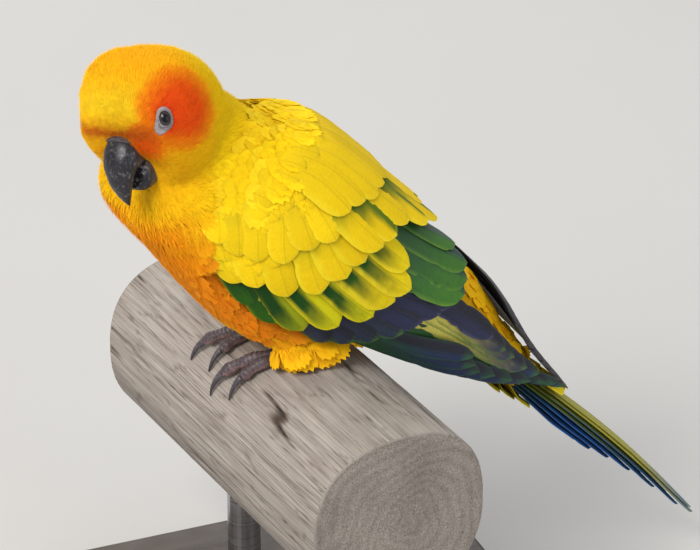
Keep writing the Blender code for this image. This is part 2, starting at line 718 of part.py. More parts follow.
def tail_point(distance, aside, lift):
    """Point of the tail from its distance along, aside and above its own plane, which arches a little."""
    along = np.array((math.cos(TAIL_PITCH), 0.0, -math.sin(TAIL_PITCH)))
    above = np.array((math.sin(TAIL_PITCH), 0.0, math.cos(TAIL_PITCH)))
    bent = lift + TAIL_ARCH * math.sin(math.pi * min(distance / (TAIL_LENGTH + 2.0), 1.0))
    return np.array((TAIL_ROOT[0], aside, TAIL_ROOT[1])) + along * distance + above * bent


def tail_vane(start, length, inner_edge, outer_edge, spread, lift, droop):
    """One tail feather between two side edges, its outer edge lower by droop.

    The feathers lie closer at their roots, so its lift grows from there to its middle.
    """
    outer, inner = [], []
    for u, share in TAIL_ROWS:
        fan = 0.68 + 0.32 * min(1.0, 2.0 * u)
        middle = (inner_edge + outer_edge) / 2 + spread * u
        half = (outer_edge - inner_edge) / 2 * share
        upper, lower = [], []
        for v in (-1.0, 0.0, 1.0):
            aside = middle + half * v
            height = lift * fan - droop * abs(aside) + 0.25 * (1 - abs(v))
            upper.append(tail_point(start + length * u, aside, height + VANE_THICKNESS / 2))
            lower.append(tail_point(start + length * u, aside, height - VANE_THICKNESS / 2))
        outer.append(upper)
        inner.append(lower)
    return close_plate(outer, inner)


def tail_root(distances, radii, height):
    """Flat oval core round which feathers join, through some distances along the tail."""
    turns = np.linspace(0, 2 * math.pi, 12, endpoint=False)
    return close_loft([[tail_point(distance, radii[0] * math.cos(turn), height + radii[1] * math.sin(turn))
                        for turn in turns] for distance in distances])


def build_tail(materials, collection):
    """Twelve graduated tail feathers on a core, with the coverts above and below."""
    shapes = [tail_root((1.0, 6.0, 11.0), (5.2, 3.2), -2.3)]
    for pair in range(TAIL_PAIRS):
        length = TAIL_LENGTH - TAIL_SHORTENING[pair]
        for side in (-1, 1):
            level = 0.0 if pair == 0 and side == 1 else 0.6 - (pair + 1) * TAIL_LEVEL
            edges = (-4.4, 5.4) if pair == 0 else (0.3, 5.6 + 0.75 * pair)
            made = tail_vane(2.0, length, edges[0], edges[1], 0.4 + 0.55 * pair, level, 0.12)
            shapes.append(made if side == 1 else mirrored([made])[0])
    fused("tail", shapes, materials["tail"], collection)
    for name, (length, shorter), (step, half), (lift, lower, droop), (radii, height) in TAIL_COVERTS:
        vanes = [tail_vane(COVERT_START, length - shorter * abs(k), step * k - half, step * k + half,
                           0.2 * k, lift - lower * abs(k), droop) for k in (-1, 0, 1)]
        fused(name, [tail_root((0.6, 4.5), radii, height)] + vanes, materials["yellow"], collection)


def build_legs(materials, collection):
    """Feathered thighs, scaled feet and claws on the rail."""
    trunk_cutter = close_loft(trunk_rings(NECK_BACK, TORSO_END, 39, 32, GAP))
    for side, foot, toes in (("left", FOOT_LEFT, TOES_LEFT), ("right", FOOT_RIGHT, TOES_RIGHT)):
        sign = -1.0 if side == "left" else 1.0
        heel = np.array((foot[0] + 8.0, foot[1] + sign * 2.0, rail_top(*foot) + 5.6))
        shapes, claws = foot_shapes(foot, toes, heel)
        item = fused(f"foot_{side}", shapes, materials["foot"], collection)
        boolean(item, [trunk_cutter], "DIFFERENCE")
        for k, claw in enumerate(claws):
            make_object(f"claw_{side}_{k + 1}", claw, materials["claw"], collection)
        grown, _ = foot_shapes(foot, toes, heel, GAP + 0.15)
        thigh = make_object(f"thigh_{side}", thigh_shape(sign), materials["yellow"], collection)
        boolean(thigh, [trunk_cutter] + grown, "DIFFERENCE")


def thigh_shape(sign):
    """Soft feathering of one thigh, low between belly and toes."""
    rings = []
    for i in range(1, 9):
        tilt = math.pi * i / 9
        rings.append([np.array((THIGH_PLACE[0] + THIGH_RADII[0] * math.cos(tilt),
                                sign * THIGH_PLACE[1] + THIGH_RADII[1] * math.sin(tilt) * math.cos(turn),
                                THIGH_PLACE[2] + THIGH_RADII[2] * math.sin(tilt) * math.sin(turn)))
                      for turn in np.linspace(0, 2 * math.pi, 16, endpoint=False)])
    return close_loft(rings)


def build_stand(materials, collection):
    """Rail, base and rods."""
    across = np.array((math.cos(RAIL_TURN), math.sin(RAIL_TURN), 0.0))
    along = np.array((-math.sin(RAIL_TURN), math.cos(RAIL_TURN), 0.0))
    centre = np.array((PERCH_X, 0.0, RAIL_TOP - RAIL_HALF_HEIGHT))
    rings = []
    for distance in np.linspace(-RAIL_HALF_LENGTH, RAIL_HALF_LENGTH, 3):
        ring = []
        for j in range(40):
            turn = 2 * math.pi * j / 40
            wide = RAIL_HALF_WIDTH * signed_power(math.cos(turn), 2 / RAIL_ROUNDNESS)
            high = RAIL_HALF_HEIGHT * signed_power(math.sin(turn), 2 / RAIL_ROUNDNESS)
            ring.append(centre + along * distance + across * wide + np.array((0.0, 0.0, high)))
        rings.append(ring)
    make_object("perch_rail", close_loft(rings), materials["wood"], collection)

    bpy.ops.mesh.primitive_cube_add(size=1.0)
    base = bpy.context.object
    base.name = "stand_base"
    base.data.transform(mathutils.Matrix.Diagonal([size * MM for size in BASE_SIZE] + [1.0]))
    base.location = (0.0, 0.0, BASE_SIZE[2] / 2 * MM)
    bevel = base.modifiers.new("edge", "BEVEL")
    bevel.width = BASE_BEVEL * MM
    bevel.segments = 2
    adopt(base, materials["base"], collection)

    bottom = BIRD_LIFT + RAIL_TOP - 2 * RAIL_HALF_HEIGHT
    length = bottom - BASE_SIZE[2] - 2 * GAP
    for k, sign in enumerate((-1, 1)):
        bpy.ops.mesh.primitive_cylinder_add(vertices=24, radius=ROD_RADIUS * MM, depth=length * MM)
        rod = bpy.context.object
        rod.name = f"stand_rod_{k + 1}"
        offset = along * sign * ROD_SPACING / 2
        rod.location = (offset[0] * MM, offset[1] * MM, (BASE_SIZE[2] + GAP + length / 2) * MM)
        adopt(rod, materials["steel"], collection)


def adopt(item, material, collection):
    """Move an object to the model's collection and give it its material."""
    for owner in list(item.users_collection):
        owner.objects.unlink(item)
    collection.objects.link(item)
    item.data.materials.append(material)


def main():
    """Build the whole model."""
    for item in list(bpy.data.objects):
        bpy.data.objects.remove(item)
    random.seed(SEED)
    collection = bpy.data.collections.new("sun_conure")
    bpy.context.scene.collection.children.link(collection)
    materials = {
        "head": make_material("head_plumage", (0.95, 0.36, 0.02), 0.8),
        "yellow": make_material("yellow_plumage", (0.95, 0.68, 0.01), 0.75),
        "orange": make_material("orange_plumage", (0.93, 0.3, 0.01), 0.8),
        "coverts": make_material("covert_feathers", (0.85, 0.66, 0.01), 0.7),
        "secondaries": make_material("green_feathers", (0.04, 0.16, 0.02), 0.6),
        "primaries": make_material("blue_feathers", (0.01, 0.02, 0.09), 0.55),
        "tail": make_material("tail_feathers", (0.16, 0.22, 0.02), 0.6),
        "bill": make_material("bill_horn", (0.03, 0.028, 0.034), 0.35),
        "eye": make_material("eye_dark", (0.01, 0.008, 0.008), 0.05),
        "foot": make_material("foot_scales", (0.16, 0.11, 0.12), 0.6),
        "claw": make_material("claw_horn", (0.03, 0.03, 0.035), 0.35),
        "wood": make_material("weathered_wood", (0.38, 0.33, 0.29), 0.85),
        "base": make_material("base_board", (0.05, 0.04, 0.035), 0.5),
        "steel": make_material("rod_steel", (0.5, 0.5, 0.5), 0.3, 1.0),
    }
    build_trunk(materials, collection)
    build_head(materials, collection)
    build_wings(materials, collection)
    build_tail(materials, collection)
    build_legs(materials, collection)
    build_stand(materials, collection)


if __name__ == "__main__":
    main()
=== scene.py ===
"""Looks of the sun conure: skin, feathers, bill, eyes, feet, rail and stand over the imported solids.

The bird's forms are worked out in millimetres in its own frame, as in the solids: it faces -X, its left is
-Y and +Z is up. They are turned into metres of the shared frame once, when a mesh is made. Along the body q
runs from head to tail, and angles run from the middle of the back round by the bird's left.
"""
import itertools
import json
import logging
from dataclasses import dataclass
from enum import Enum
from math import ceil, cos, hypot, pi, radians, sin, sqrt, tan
from typing import Callable, Iterable, Sequence

import bpy
import numpy as np
from bpy.types import ID, Material, Mesh, Node, NodeOutputs, NodeSocket, NodeTree, Object
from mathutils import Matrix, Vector

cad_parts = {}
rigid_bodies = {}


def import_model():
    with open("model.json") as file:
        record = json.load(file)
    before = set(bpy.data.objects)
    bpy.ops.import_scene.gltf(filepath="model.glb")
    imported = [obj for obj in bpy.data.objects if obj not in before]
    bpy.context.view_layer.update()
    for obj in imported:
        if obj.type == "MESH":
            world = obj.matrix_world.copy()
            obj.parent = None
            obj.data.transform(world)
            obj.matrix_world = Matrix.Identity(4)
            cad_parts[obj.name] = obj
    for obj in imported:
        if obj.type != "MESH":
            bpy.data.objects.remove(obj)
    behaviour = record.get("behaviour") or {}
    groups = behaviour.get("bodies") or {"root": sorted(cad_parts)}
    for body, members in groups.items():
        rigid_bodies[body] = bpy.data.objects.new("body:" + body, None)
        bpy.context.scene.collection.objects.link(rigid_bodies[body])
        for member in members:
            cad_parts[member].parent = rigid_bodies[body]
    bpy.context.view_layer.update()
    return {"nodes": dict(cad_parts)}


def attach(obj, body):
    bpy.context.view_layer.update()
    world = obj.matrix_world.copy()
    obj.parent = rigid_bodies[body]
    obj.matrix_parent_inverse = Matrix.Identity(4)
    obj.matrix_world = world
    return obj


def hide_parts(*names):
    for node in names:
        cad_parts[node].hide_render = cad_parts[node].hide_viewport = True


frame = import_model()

LOG = logging.getLogger("sun_conure")
MM = 0.001
SEED = 23
TURN = 2 * pi
# Edges of each kind of piece that are sharper than these degrees stay crisp.
VANE_CREASE = 50.0
TUFT_CREASE = 40.0
RAIL_CREASE = 60.0
# Width of one tuft's patch on the bake map.
BAKE_PATCH = 0.003

# Places that scene and solids share.
PERCH_X = 6.6
BIRD_LIFT = 98.0
BODY_PITCH = radians(55.0)
ROUNDNESS = 2.3

Colour = tuple[float, float, float]
Place = tuple[float, float]
Array = np.ndarray
Draw = np.random.Generator

YELLOW: Colour = (0.93, 0.63, 0.004)
PALE_YELLOW: Colour = (0.90, 0.68, 0.02)
GOLD: Colour = (0.94, 0.44, 0.005)
ORANGE: Colour = (0.90, 0.22, 0.004)
FIERY: Colour = (0.80, 0.038, 0.004)
RUST: Colour = (0.50, 0.075, 0.006)
BREAST: Colour = (0.84, 0.24, 0.004)
LIME: Colour = (0.62, 0.56, 0.008)
NIGHT: Colour = (0.008, 0.009, 0.022)
SOOT: Colour = (0.03, 0.026, 0.02)


def vec(*numbers: float) -> Array:
    """Array of a few numbers."""
    return np.array(numbers)


def stack(*parts: Array) -> Array:
    """Points or colours from arrays of their parts."""
    return np.stack(parts, axis=-1)


def ease(low: float, high: float, value: Array) -> Array:
    """Smooth step of a value between two limits."""
    share = np.clip((value - low) / (high - low), 0.0, 1.0)
    return share * share * (3.0 - 2.0 * share)


def mix(first: Array, second: Array, share: Array) -> Array:
    """Colours between two colours or arrays of them, by the second's share at each point."""
    share = np.asarray(share)[..., None]
    return np.asarray(first) * (1.0 - share) + np.asarray(second) * share


def unit(vectors: Array) -> Array:
    """Vectors at length one."""
    return vectors / np.maximum(np.linalg.norm(vectors, axis=-1, keepdims=True), 1e-9)


def signed_power(value: Array, power: float) -> Array:
    """Power of numbers that keeps their signs."""
    return np.sign(value) * np.abs(value) ** power


def to_frame(points: Array) -> Array:
    """Metres of the shared frame from millimetres of the bird's frame."""
    return (points - vec(PERCH_X, 0.0, -BIRD_LIFT)) * MM


def from_frame(points: Array) -> Array:
    """Millimetres of the bird's frame from metres of the shared frame."""
    return points / MM + vec(PERCH_X, 0.0, -BIRD_LIFT)


class Side(Enum):
    """The bird's left or right, as the sign of y."""

    LEFT = -1.0
    RIGHT = 1.0

    @property
    def word(self) -> str:
        """Name of the side in node names."""
        return self.name.lower()


class Noise:
    """Smooth value noise with a fixed seed."""

    CELLS = 32

    def __init__(self, seed: int) -> None:
        """Fill the lattice with values from a seed."""
        self.lattice = np.random.default_rng(seed).random((self.CELLS,) * 3)

    def at(self, points: Array, size: float | Sequence[float]) -> Array:
        """Noise between -1 and 1.

        Args:
            points: Places, with three numbers in the last axis.
            size: Size of the noise's features, one number or one for each axis.

        Returns:
            One value for each point.
        """
        scaled = points / np.asarray(size)
        cell = np.floor(scaled).astype(int)
        part = scaled - cell
        part = part * part * (3.0 - 2.0 * part)
        total = np.zeros(points.shape[:-1])
        for corner in itertools.product((0, 1), repeat=3):
            index = (cell + corner) % self.CELLS
            weight = np.prod(np.where(np.array(corner) == 1, part, 1.0 - part), axis=-1)
            total += weight * self.lattice[index[..., 0], index[..., 1], index[..., 2]]
        return total * 2.0 - 1.0


NOISE = Noise(SEED)


@dataclass(frozen=True)
class EasedTable:
    """Rows of numbers, eased between the rows without overshoot."""

    rows: tuple[tuple[float, ...], ...]

    def value(self, at: Array, column: int) -> Array:
        """One column's value at places along the first column.

        Args:
            at: Places.
            column: Column to read.

        Returns:
            One value for each place.
        """
        table = np.array(self.rows)
        places, values = table[:, 0], table[:, column]
        slopes = np.diff(values) / np.diff(places)
        tangents = np.empty_like(values)
        tangents[0], tangents[-1] = slopes[0], slopes[-1]
        before, after = slopes[:-1], slopes[1:]
        even = before * after > 0
        total = np.where(even, before + after, 1.0)
        tangents[1:-1] = np.where(even, 2.0 * before * after / total, 0.0)
        at = np.clip(at, places[0], places[-1])
        k = np.clip(np.searchsorted(places, at, side="right") - 1, 0, len(places) - 2)
        span = places[k + 1] - places[k]
        t = (at - places[k]) / span
        return (values[k] * (1 + 2 * t) * (1 - t) ** 2 + tangents[k] * span * t * (1 - t) ** 2 + values[k + 1]
            * t * t * (3 - 2 * t) + tangents[k + 1] * span * t * t * (t - 1))


def circle(sides: int) -> Array:
    """Angles of points set evenly round a ring."""
    return np.linspace(0.0, TURN, sides, endpoint=False)


def ball_angles(rings: int, sides: int) -> list[Array]:
    """Angles from a ball's pole and round it, for rings of points between the poles."""
    return np.meshgrid(np.linspace(0.0, pi, rings)[1:-1], circle(sides), indexing="ij")


def flip(faces: Iterable[Sequence[int]]) -> list[Sequence[int]]:
    """The same faces, turned the other way out."""
    return [face[::-1] for face in faces]


def spokes(line: Array, sides: int) -> tuple[Array, Array]:
    """Directions that stand out all round a line, at each of its points.

    Args:
        line: The line's points.
        sides: How many directions at each.

    Returns:
        The angles round the line, and the directions.
    """
    ahead = unit(np.gradient(line, axis=0))
    first = unit(np.cross(ahead, vec(0.0, 1.0, 0.13)))
    second = np.cross(ahead, first)
    turn = circle(sides)
    return turn, first[:, None] * np.cos(turn)[:, None] + second[:, None] * np.sin(turn)[:, None]


def side_point(q: Array, r: Array, y: Array) -> Array:
    """Points of the bird from their places along the body, across it and to its right."""
    return stack(q * cos(BODY_PITCH) + r * sin(BODY_PITCH), y + 0.0 * q, -q * sin(BODY_PITCH) + r
        * cos(BODY_PITCH))


@dataclass(frozen=True)
class Form:
    """Outer form of the plumage: along q, the back's r, the breast's r and half the width."""

    table: EasedTable

    def raw(self, q: Array, angle: Array) -> Array:
        """Points on the form at places along q and angles in degrees from the back."""
        q, angle = np.broadcast_arrays(np.asarray(q, float), np.asarray(angle, float))
        top, bottom, half = (self.table.value(q, k) for k in (1, 2, 3))
        turn = np.radians(angle)
        across = (top + bottom) / 2 + (top - bottom) / 2 * signed_power(np.cos(turn), 2 / ROUNDNESS)
        return side_point(q, across, -half * signed_power(np.sin(turn), 2 / ROUNDNESS))

    def frame(self, q: Array, angle: Array) -> tuple[Array, ...]:
        """Points, steps along q and angle, and outward normals.

        Args:
            q: Places along the body.
            angle: Angles from the back in degrees.

        Returns:
            Points, steps for one unit of q, steps for one degree, and normals.
        """
        q, angle = np.asarray(q, float), np.asarray(angle, float)
        along = self.raw(q + 0.5, angle) - self.raw(q - 0.5, angle)
        around = (self.raw(q, angle + 1.0) - self.raw(q, angle - 1.0)) / 2
        return self.raw(q, angle), along, around, unit(np.cross(around, along))

    def point(self, q: Array, angle: Array, lift: Array) -> Array:
        """Points above the form by lift, along its normal."""
        point, _, _, normal = self.frame(q, angle)
        return point + normal * np.asarray(lift)[..., None]

    def places(self, points: Array) -> tuple[Array, Array]:
        """Places along q of points near the form, and angles from -180 to 180, positive on the left."""
        q, r = body_place(points)
        top, bottom, half = (self.table.value(q, k) for k in (1, 2, 3))
        level = signed_power((r - (top + bottom) / 2) / ((top - bottom) / 2), ROUNDNESS / 2)
        aside = signed_power(-points[..., 1] / half, ROUNDNESS / 2)
        return q, np.degrees(np.arctan2(aside, level))


# Rows of neck and shoulders, the same for plumage and wings.
FRONT_ROWS = ((-100.0, 33.0, 6.0, 12.0), (-84.0, 36.8, 1.2, 16.6), (-73.0, 39.6, -4.4, 19.4),
    (-65.0, 43.4, -5.6, 22.4), (-57.0, 50.6, -5.7, 25.5), (-46.0, 55.8, -5.8, 28.0),
    (-32.0, 57.6, -5.4, 29.5),)
PLUMAGE = Form(EasedTable(FRONT_ROWS + ((-11.0, 60.0, -1.5, 29.5), (-5.0, 60.6, 4.0, 29.1),
    (0.0, 61.4, 10.5, 28.5), (6.0, 62.4, 17.0, 27.3), (15.0, 63.4, 23.5, 25.0), (30.0, 62.8, 31.5, 20.5),
    (45.0, 60.8, 38.6, 15.5), (60.0, 59.8, 44.8, 11.0), (76.0, 58.5, 48.0, 8.5), (110.0, 58.0, 50.0, 5.0),)))
# The folded wing follows the plumage, then hangs lower beside the rump.
WING = Form(EasedTable(FRONT_ROWS + ((-11.0, 60.0, -2.2, 29.5), (0.0, 62.0, 1.5, 28.7),
    (15.0, 65.2, 9.5, 26.4), (30.0, 65.0, 19.0, 22.5), (45.0, 63.2, 29.5, 18.5), (55.0, 62.0, 37.7, 16.0),
    (64.0, 61.5, 47.0, 13.5), (76.0, 61.5, 55.0, 10.5), (110.0, 61.5, 56.0, 7.0),)))
WING_BED = EasedTable(((0.0, 3.6), (14.0, 6.2), (30.0, 8.6), (55.0, 10.8), (133.0, 10.8), (143.0, 1.6),
    (151.0, 0.0), (180.0, 0.0)))
WING_BED_ALONG = EasedTable(((-72.5, 0.0), (-70.0, 0.1), (-66.5, 1.0), (22.0, 1.0), (40.0, 0.8), (57.0, 0.35),
    (70.0, 0.3)))


@dataclass(frozen=True)
class HeadFrame:
    """The head's own forward, left and up directions, and its ball of plumage."""

    centre: tuple[float, float, float] = (-33.0, -3.4, 80.2)
    radii: tuple[float, float, float] = (21.4, 19.6, 21.0)
    yaw: float = radians(32.0)
    roll: float = radians(12.0)
    # Direction, depth and spread of each form that draws the ball in, or swells it where depth is below zero.
    face_forms: tuple = (((0.83, 0.0, -0.56), 5.2, radians(28.0)), ((0.998, 0.0, 0.06), 3.1, radians(23.0)),
        ((0.15, -0.62, 0.77), -2.9, radians(26.0)), ((0.15, 0.62, 0.77), -1.6, radians(26.0)),
        ((0.60, -0.78, 0.15), -1.4, radians(28.0)), ((0.50, -0.45, 0.74), -1.2, radians(24.0)),)

    @property
    def axes(self) -> Array:
        """Rows of the forward, left and up directions."""
        ahead = vec(-cos(self.yaw), -sin(self.yaw), 0.0)
        level = vec(sin(self.yaw), -cos(self.yaw), 0.0)
        rise = vec(0.0, 0.0, 1.0)
        side = level * cos(self.roll) + rise * sin(self.roll)
        return np.stack((ahead, side, rise * cos(self.roll) - level * sin(self.roll)))

    def point(self, local: Array) -> Array:
        """Points of the bird from the head's forward, left and up distances."""
        return np.array(self.centre) + np.asarray(local, float) @ self.axes

    def local(self, points: Array) -> Array:
        """Forward, left and up distances of points of the bird."""
        return (points - np.array(self.centre)) @ self.axes.T

    def surface(self, directions: Array, lift: float = 0.0) -> Array:
        """Distances from the centre to the plumage's surface.

        Args:
            directions: Directions of length one in the head's frame.
            lift: Added to every distance.

        Returns:
            One distance for each direction.
        """
        reach = 1.0 / np.linalg.norm(directions / np.array(self.radii), axis=-1)
        for middle, depth, spread in self.face_forms:
            turn = np.arccos(np.clip(directions @ np.array(middle), -1.0, 1.0))
            reach = reach - depth * np.exp(-(turn / spread) ** 2)
        return reach + lift


HEAD = HeadFrame()
EYE_DIRECTIONS = {Side.LEFT: (0.611, 0.729, 0.309), Side.RIGHT: (0.611, -0.729, 0.309)}
EYE_DEPTH = 17.1
EYE_RADIUS = 3.4
BILL_BASE = (17.0, 0.0, -4.0)


@dataclass
class Shape:
    """A mesh in the making, in millimetres of the bird's frame.

    Colours, vane places and bake places, where present, have one row for each point.
    """

    points: Array
    faces: list[Sequence[int]]
    colours: Array | None = None
    vane: Array | None = None
    bake: Array | None = None

    @staticmethod
    def joined(shapes: Sequence["Shape"]) -> "Shape":
        """One shape from several that carry the same data.

        Args:
            shapes: Shapes to join.

        Returns:
            The joined shape.
        """
        faces: list[Sequence[int]] = []
        shift = 0
        for shape in shapes:
            faces += [[int(k) + shift for k in face] for face in shape.faces]
            shift += len(shape.points)
        gathered = {}
        for word in ("colours", "vane", "bake"):
            parts = [getattr(shape, word) for shape in shapes]
            gathered[word] = None if parts[0] is None else np.concatenate(parts)
        return Shape(np.concatenate([shape.points for shape in shapes]), faces, **gathered)

    def mirrored(self) -> "Shape":
        """The same shape on the bird's other side."""
        flipped = self.points * vec(1.0, -1.0, 1.0)
        return Shape(flipped, [list(face)[::-1] for face in self.faces], self.colours, self.vane, self.bake)


def grid_faces(rows: int, columns: int, closed: bool = False, start: int = 0) -> list[list[int]]:
    """Quads of a grid of points.

    Args:
        rows: Rows of points.
        columns: Points in a row.
        closed: Whether each row is a ring.
        start: Number of the first point.

    Returns:
        Faces of four points each.
    """
    faces = []
    for i in range(rows - 1):
        for j in range(columns if closed else columns - 1):
            a = start + i * columns + j
            b = start + i * columns + (j + 1) % columns
            faces.append([a, b, b + columns, a + columns])
    return faces


def close_rings(rings: Array) -> tuple[Array, list[list[int]]]:
    """Closed tube through rings of points, with a fan of faces on each end.

    Args:
        rings: Array of rings, points and coordinates.

    Returns:
        Points and faces.
    """
    count, sides, _ = rings.shape
    faces = grid_faces(count, sides, closed=True)
    points = np.concatenate((rings.reshape(-1, 3), rings[:1].mean(axis=1), rings[-1:].mean(axis=1)))
    last = (count - 1) * sides
    for j in range(sides):
        faces.append([(j + 1) % sides, j, count * sides])
        faces.append([last + j, last + (j + 1) % sides, count * sides + 1])
    return points, faces


def write_points(mesh: Mesh, name: str, values: Array, kind: str) -> None:
    """Keep one value for each point of a mesh.

    Args:
        mesh: Mesh to write on.
        name: Attribute's name.
        values: One row for each point.
        kind: FLOAT, FLOAT_VECTOR or FLOAT_COLOR.
    """
    attribute = mesh.attributes.new(name, kind, "POINT")
    key = {"FLOAT": "value", "FLOAT_VECTOR": "vector", "FLOAT_COLOR": "color"}[kind]
    if kind == "FLOAT_COLOR":
        values = np.concatenate((values, np.ones((len(values), 1))), axis=1)
    attribute.data.foreach_set(key, np.ascontiguousarray(values, dtype=np.float32).ravel())


def read_points(mesh: Mesh, name: str, width: int) -> Array:
    """Values of a point attribute, with width numbers each."""
    flat = np.empty(len(mesh.vertices) * width, dtype=np.float32)
    mesh.attributes[name].data.foreach_get("value" if width == 1 else "vector", flat)
    return flat.reshape(-1, width).astype(float)


def write_uv(mesh: Mesh, name: str, values: Array) -> None:
    """Keep a UV map from one place for each point."""
    layer = mesh.uv_layers.new(name=name)
    owners = np.empty(len(mesh.loops), dtype=np.int32)
    mesh.loops.foreach_get("vertex_index", owners)
    layer.uv.foreach_set("vector", values[owners].astype(np.float32).ravel())


def mesh_places(mesh: Mesh) -> Array:
    """Points of a mesh in millimetres of the bird's frame."""
    flat = np.empty(len(mesh.vertices) * 3, dtype=np.float32)
    mesh.vertices.foreach_get("co", flat)
    return from_frame(flat.reshape(-1, 3).astype(float))


def body_place(points: Array) -> tuple[Array, Array]:
    """Places along the body and across it of points of the bird."""
    return (points[..., 0] * cos(BODY_PITCH) - points[..., 2] * sin(BODY_PITCH), points[..., 0]
        * sin(BODY_PITCH) + points[..., 2] * cos(BODY_PITCH))


def new_mesh(name: str, points: Array, faces: Iterable[Sequence[int]]) -> Mesh:
    """Mesh from points in millimetres of the bird's frame."""
    mesh = bpy.data.meshes.new(name)
    mesh.from_pydata(to_frame(points).tolist(), [], faces)
    return mesh


def new_object(name: str, data: ID) -> Object:
    """Object of some data, in the scene."""
    item = bpy.data.objects.new(name, data)
    bpy.context.scene.collection.objects.link(item)
    return item


@dataclass(frozen=True)
class Fitting:
    """How a finished piece joins the model: its name, slot and the solids that it stands for."""

    name: str
    slot: str
    replaces: tuple[str, ...] = ()

    def fit(self, item: Object) -> Object:
        """Let an object ride on the body and log it.

        Args:
            item: Finished object.

        Returns:
            The same object.
        """
        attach(item, "root")
        if self.replaces:
            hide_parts(*self.replaces)
        LOG.info("%s: %d faces", self.name, len(item.data.polygons))
        return item

    def make(self, shape: Shape, material: Material, smooth_angle: float = 180.0) -> Object:
        """Turn a shape into a finished piece.

        Args:
            shape: The piece's points, faces and data.
            material: Its finish.
            smooth_angle: Edges sharper than this many degrees stay crisp.

        Returns:
            The object.
        """
        mesh = new_mesh(self.name, shape.points, shape.faces)
        mesh.shade_smooth()
        if smooth_angle < 180.0:
            mesh.set_sharp_from_angle(angle=radians(smooth_angle))
        if shape.colours is not None:
            write_points(mesh, "tint", shape.colours, "FLOAT_COLOR")
        for name, places in (("vane", shape.vane), ("OFBake", shape.bake)):
            if places is not None:
                write_uv(mesh, name, places)
        mesh.materials.append(material)
        return self.fit(new_object(self.name, mesh))


def stand_in(node: str, ending: str, slot: str, shape: Shape, material: Material,
        crease: float = 180.0) -> None:
    """Make the piece that stands for one node, named after it.

    Args:
        node: The solid that it replaces.
        ending: What its name adds to the node's.
        slot: Its slot.
        shape: Its points, faces and data.
        material: Its finish.
        crease: Edges sharper than this many degrees stay crisp.
    """
    Fitting(f"{node}_{ending}", slot, (node,)).make(shape, material, crease)


class NodeSheet:
    """Short way to place and join nodes in one tree."""

    def __init__(self, tree: NodeTree) -> None:
        """Keep the tree."""
        self.tree = tree

    def join(self, value: NodeSocket, target: NodeSocket) -> None:
        """Feed one socket from another."""
        self.tree.links.new(value, target)

    def add(self, kind: str, inputs: dict | None = None, **settings: object) -> Node:
        """Place one node.

        Args:
            kind: The node's type name.
            inputs: Values or sockets by the input's name or number.
            settings: The node's own properties.

        Returns:
            The node.
        """
        node = self.tree.nodes.new(kind)
        for word, value in settings.items():
            setattr(node, word, value)
        for key, value in (inputs or {}).items():
            if isinstance(value, NodeSocket):
                self.join(value, node.inputs[key])
            else:
                node.inputs[key].default_value = value
        return node

    def effect(self, group: NodeTree, **inputs: object) -> NodeOutputs:
        """Outputs of a shared group."""
        return self.add("ShaderNodeGroup", inputs, node_tree=group).outputs

    def sum(self, operation: str, first: object, second: object = 0.0, clamp: bool = False) -> NodeSocket:
        """Result of a Math node on two numbers or sockets."""
        return self.add("ShaderNodeMath", {0: first, 1: second}, operation=operation,
            use_clamp=clamp).outputs[0]

    def times(self, first: object, second: object) -> NodeSocket:
        """Product of two numbers or sockets."""
        return self.sum("MULTIPLY", first, second)

    def stretch(self, place: NodeSocket, by: object) -> NodeSocket:
        """Vector with each part multiplied."""
        return self.add("ShaderNodeVectorMath", {0: place, 1: by}, operation="MULTIPLY").outputs[0]

    def scale(self, colour: object, share: NodeSocket) -> NodeSocket:
        """Colour made darker or lighter by a number."""
        return self.add("ShaderNodeVectorMath", {0: colour, 3: share}, operation="SCALE").outputs[0]

    def noise(self, place: NodeSocket, scale: object, detail: float, roughness: float = 0.5) -> NodeSocket:
        """Value of a noise texture at a place."""
        return self.add("ShaderNodeTexNoise", {"Vector": place, "Scale": scale, "Detail": detail,
            "Roughness": roughness}).outputs[0]

    def blend(self, share: object, first: object, second: object, kind: str = "MIX") -> NodeSocket:
        """Colour that a Mix node makes of two colours."""
        colours = {number: value if isinstance(value, NodeSocket) else (*value, 1.0) for number,
            value in ((6, first), (7, second))}
        return self.add("ShaderNodeMix", {0: share, **colours}, data_type="RGBA", blend_type=kind).outputs[2]

    def span(self, value: NodeSocket, source: tuple, target: tuple) -> NodeSocket:
        """Value carried from one range of numbers to another, held inside it."""
        ends = dict(enumerate((*source, *target), 1))
        return self.add("ShaderNodeMapRange", {0: value, **ends}).outputs[0]

    def painted(self) -> NodeSocket:
        """Colour painted on the mesh."""
        return self.add("ShaderNodeAttribute", attribute_name="tint").outputs["Color"]

    def object_place(self) -> NodeSocket:
        """Place in the object's own space."""
        return self.add("ShaderNodeTexCoord").outputs["Object"]

    def map_place(self) -> NodeSocket:
        """Place on the piece's own map of millimetres across and along."""
        return self.add("ShaderNodeUVMap", uv_map="vane").outputs[0]


def new_group(name: str, kind: str, inputs: dict[str, tuple[str, object]],
        outputs: dict[str, str]) -> tuple[NodeTree, Node, Node]:
    """Node group with named inputs and outputs.

    Args:
        name: The group's name.
        kind: Tree type.
        inputs: Socket type and default by name, with None where there is no default.
        outputs: Socket type by name.

    Returns:
        The tree and its input and output nodes.
    """
    tree = bpy.data.node_groups.new(name, kind)
    for word, (socket, value) in inputs.items():
        made = tree.interface.new_socket(name=word, in_out="INPUT", socket_type=socket)
        if value is not None:
            made.default_value = value
    for word, socket in outputs.items():
        tree.interface.new_socket(name=word, in_out="OUTPUT", socket_type=socket)
    return tree, tree.nodes.new("NodeGroupInput"), tree.nodes.new("NodeGroupOutput")


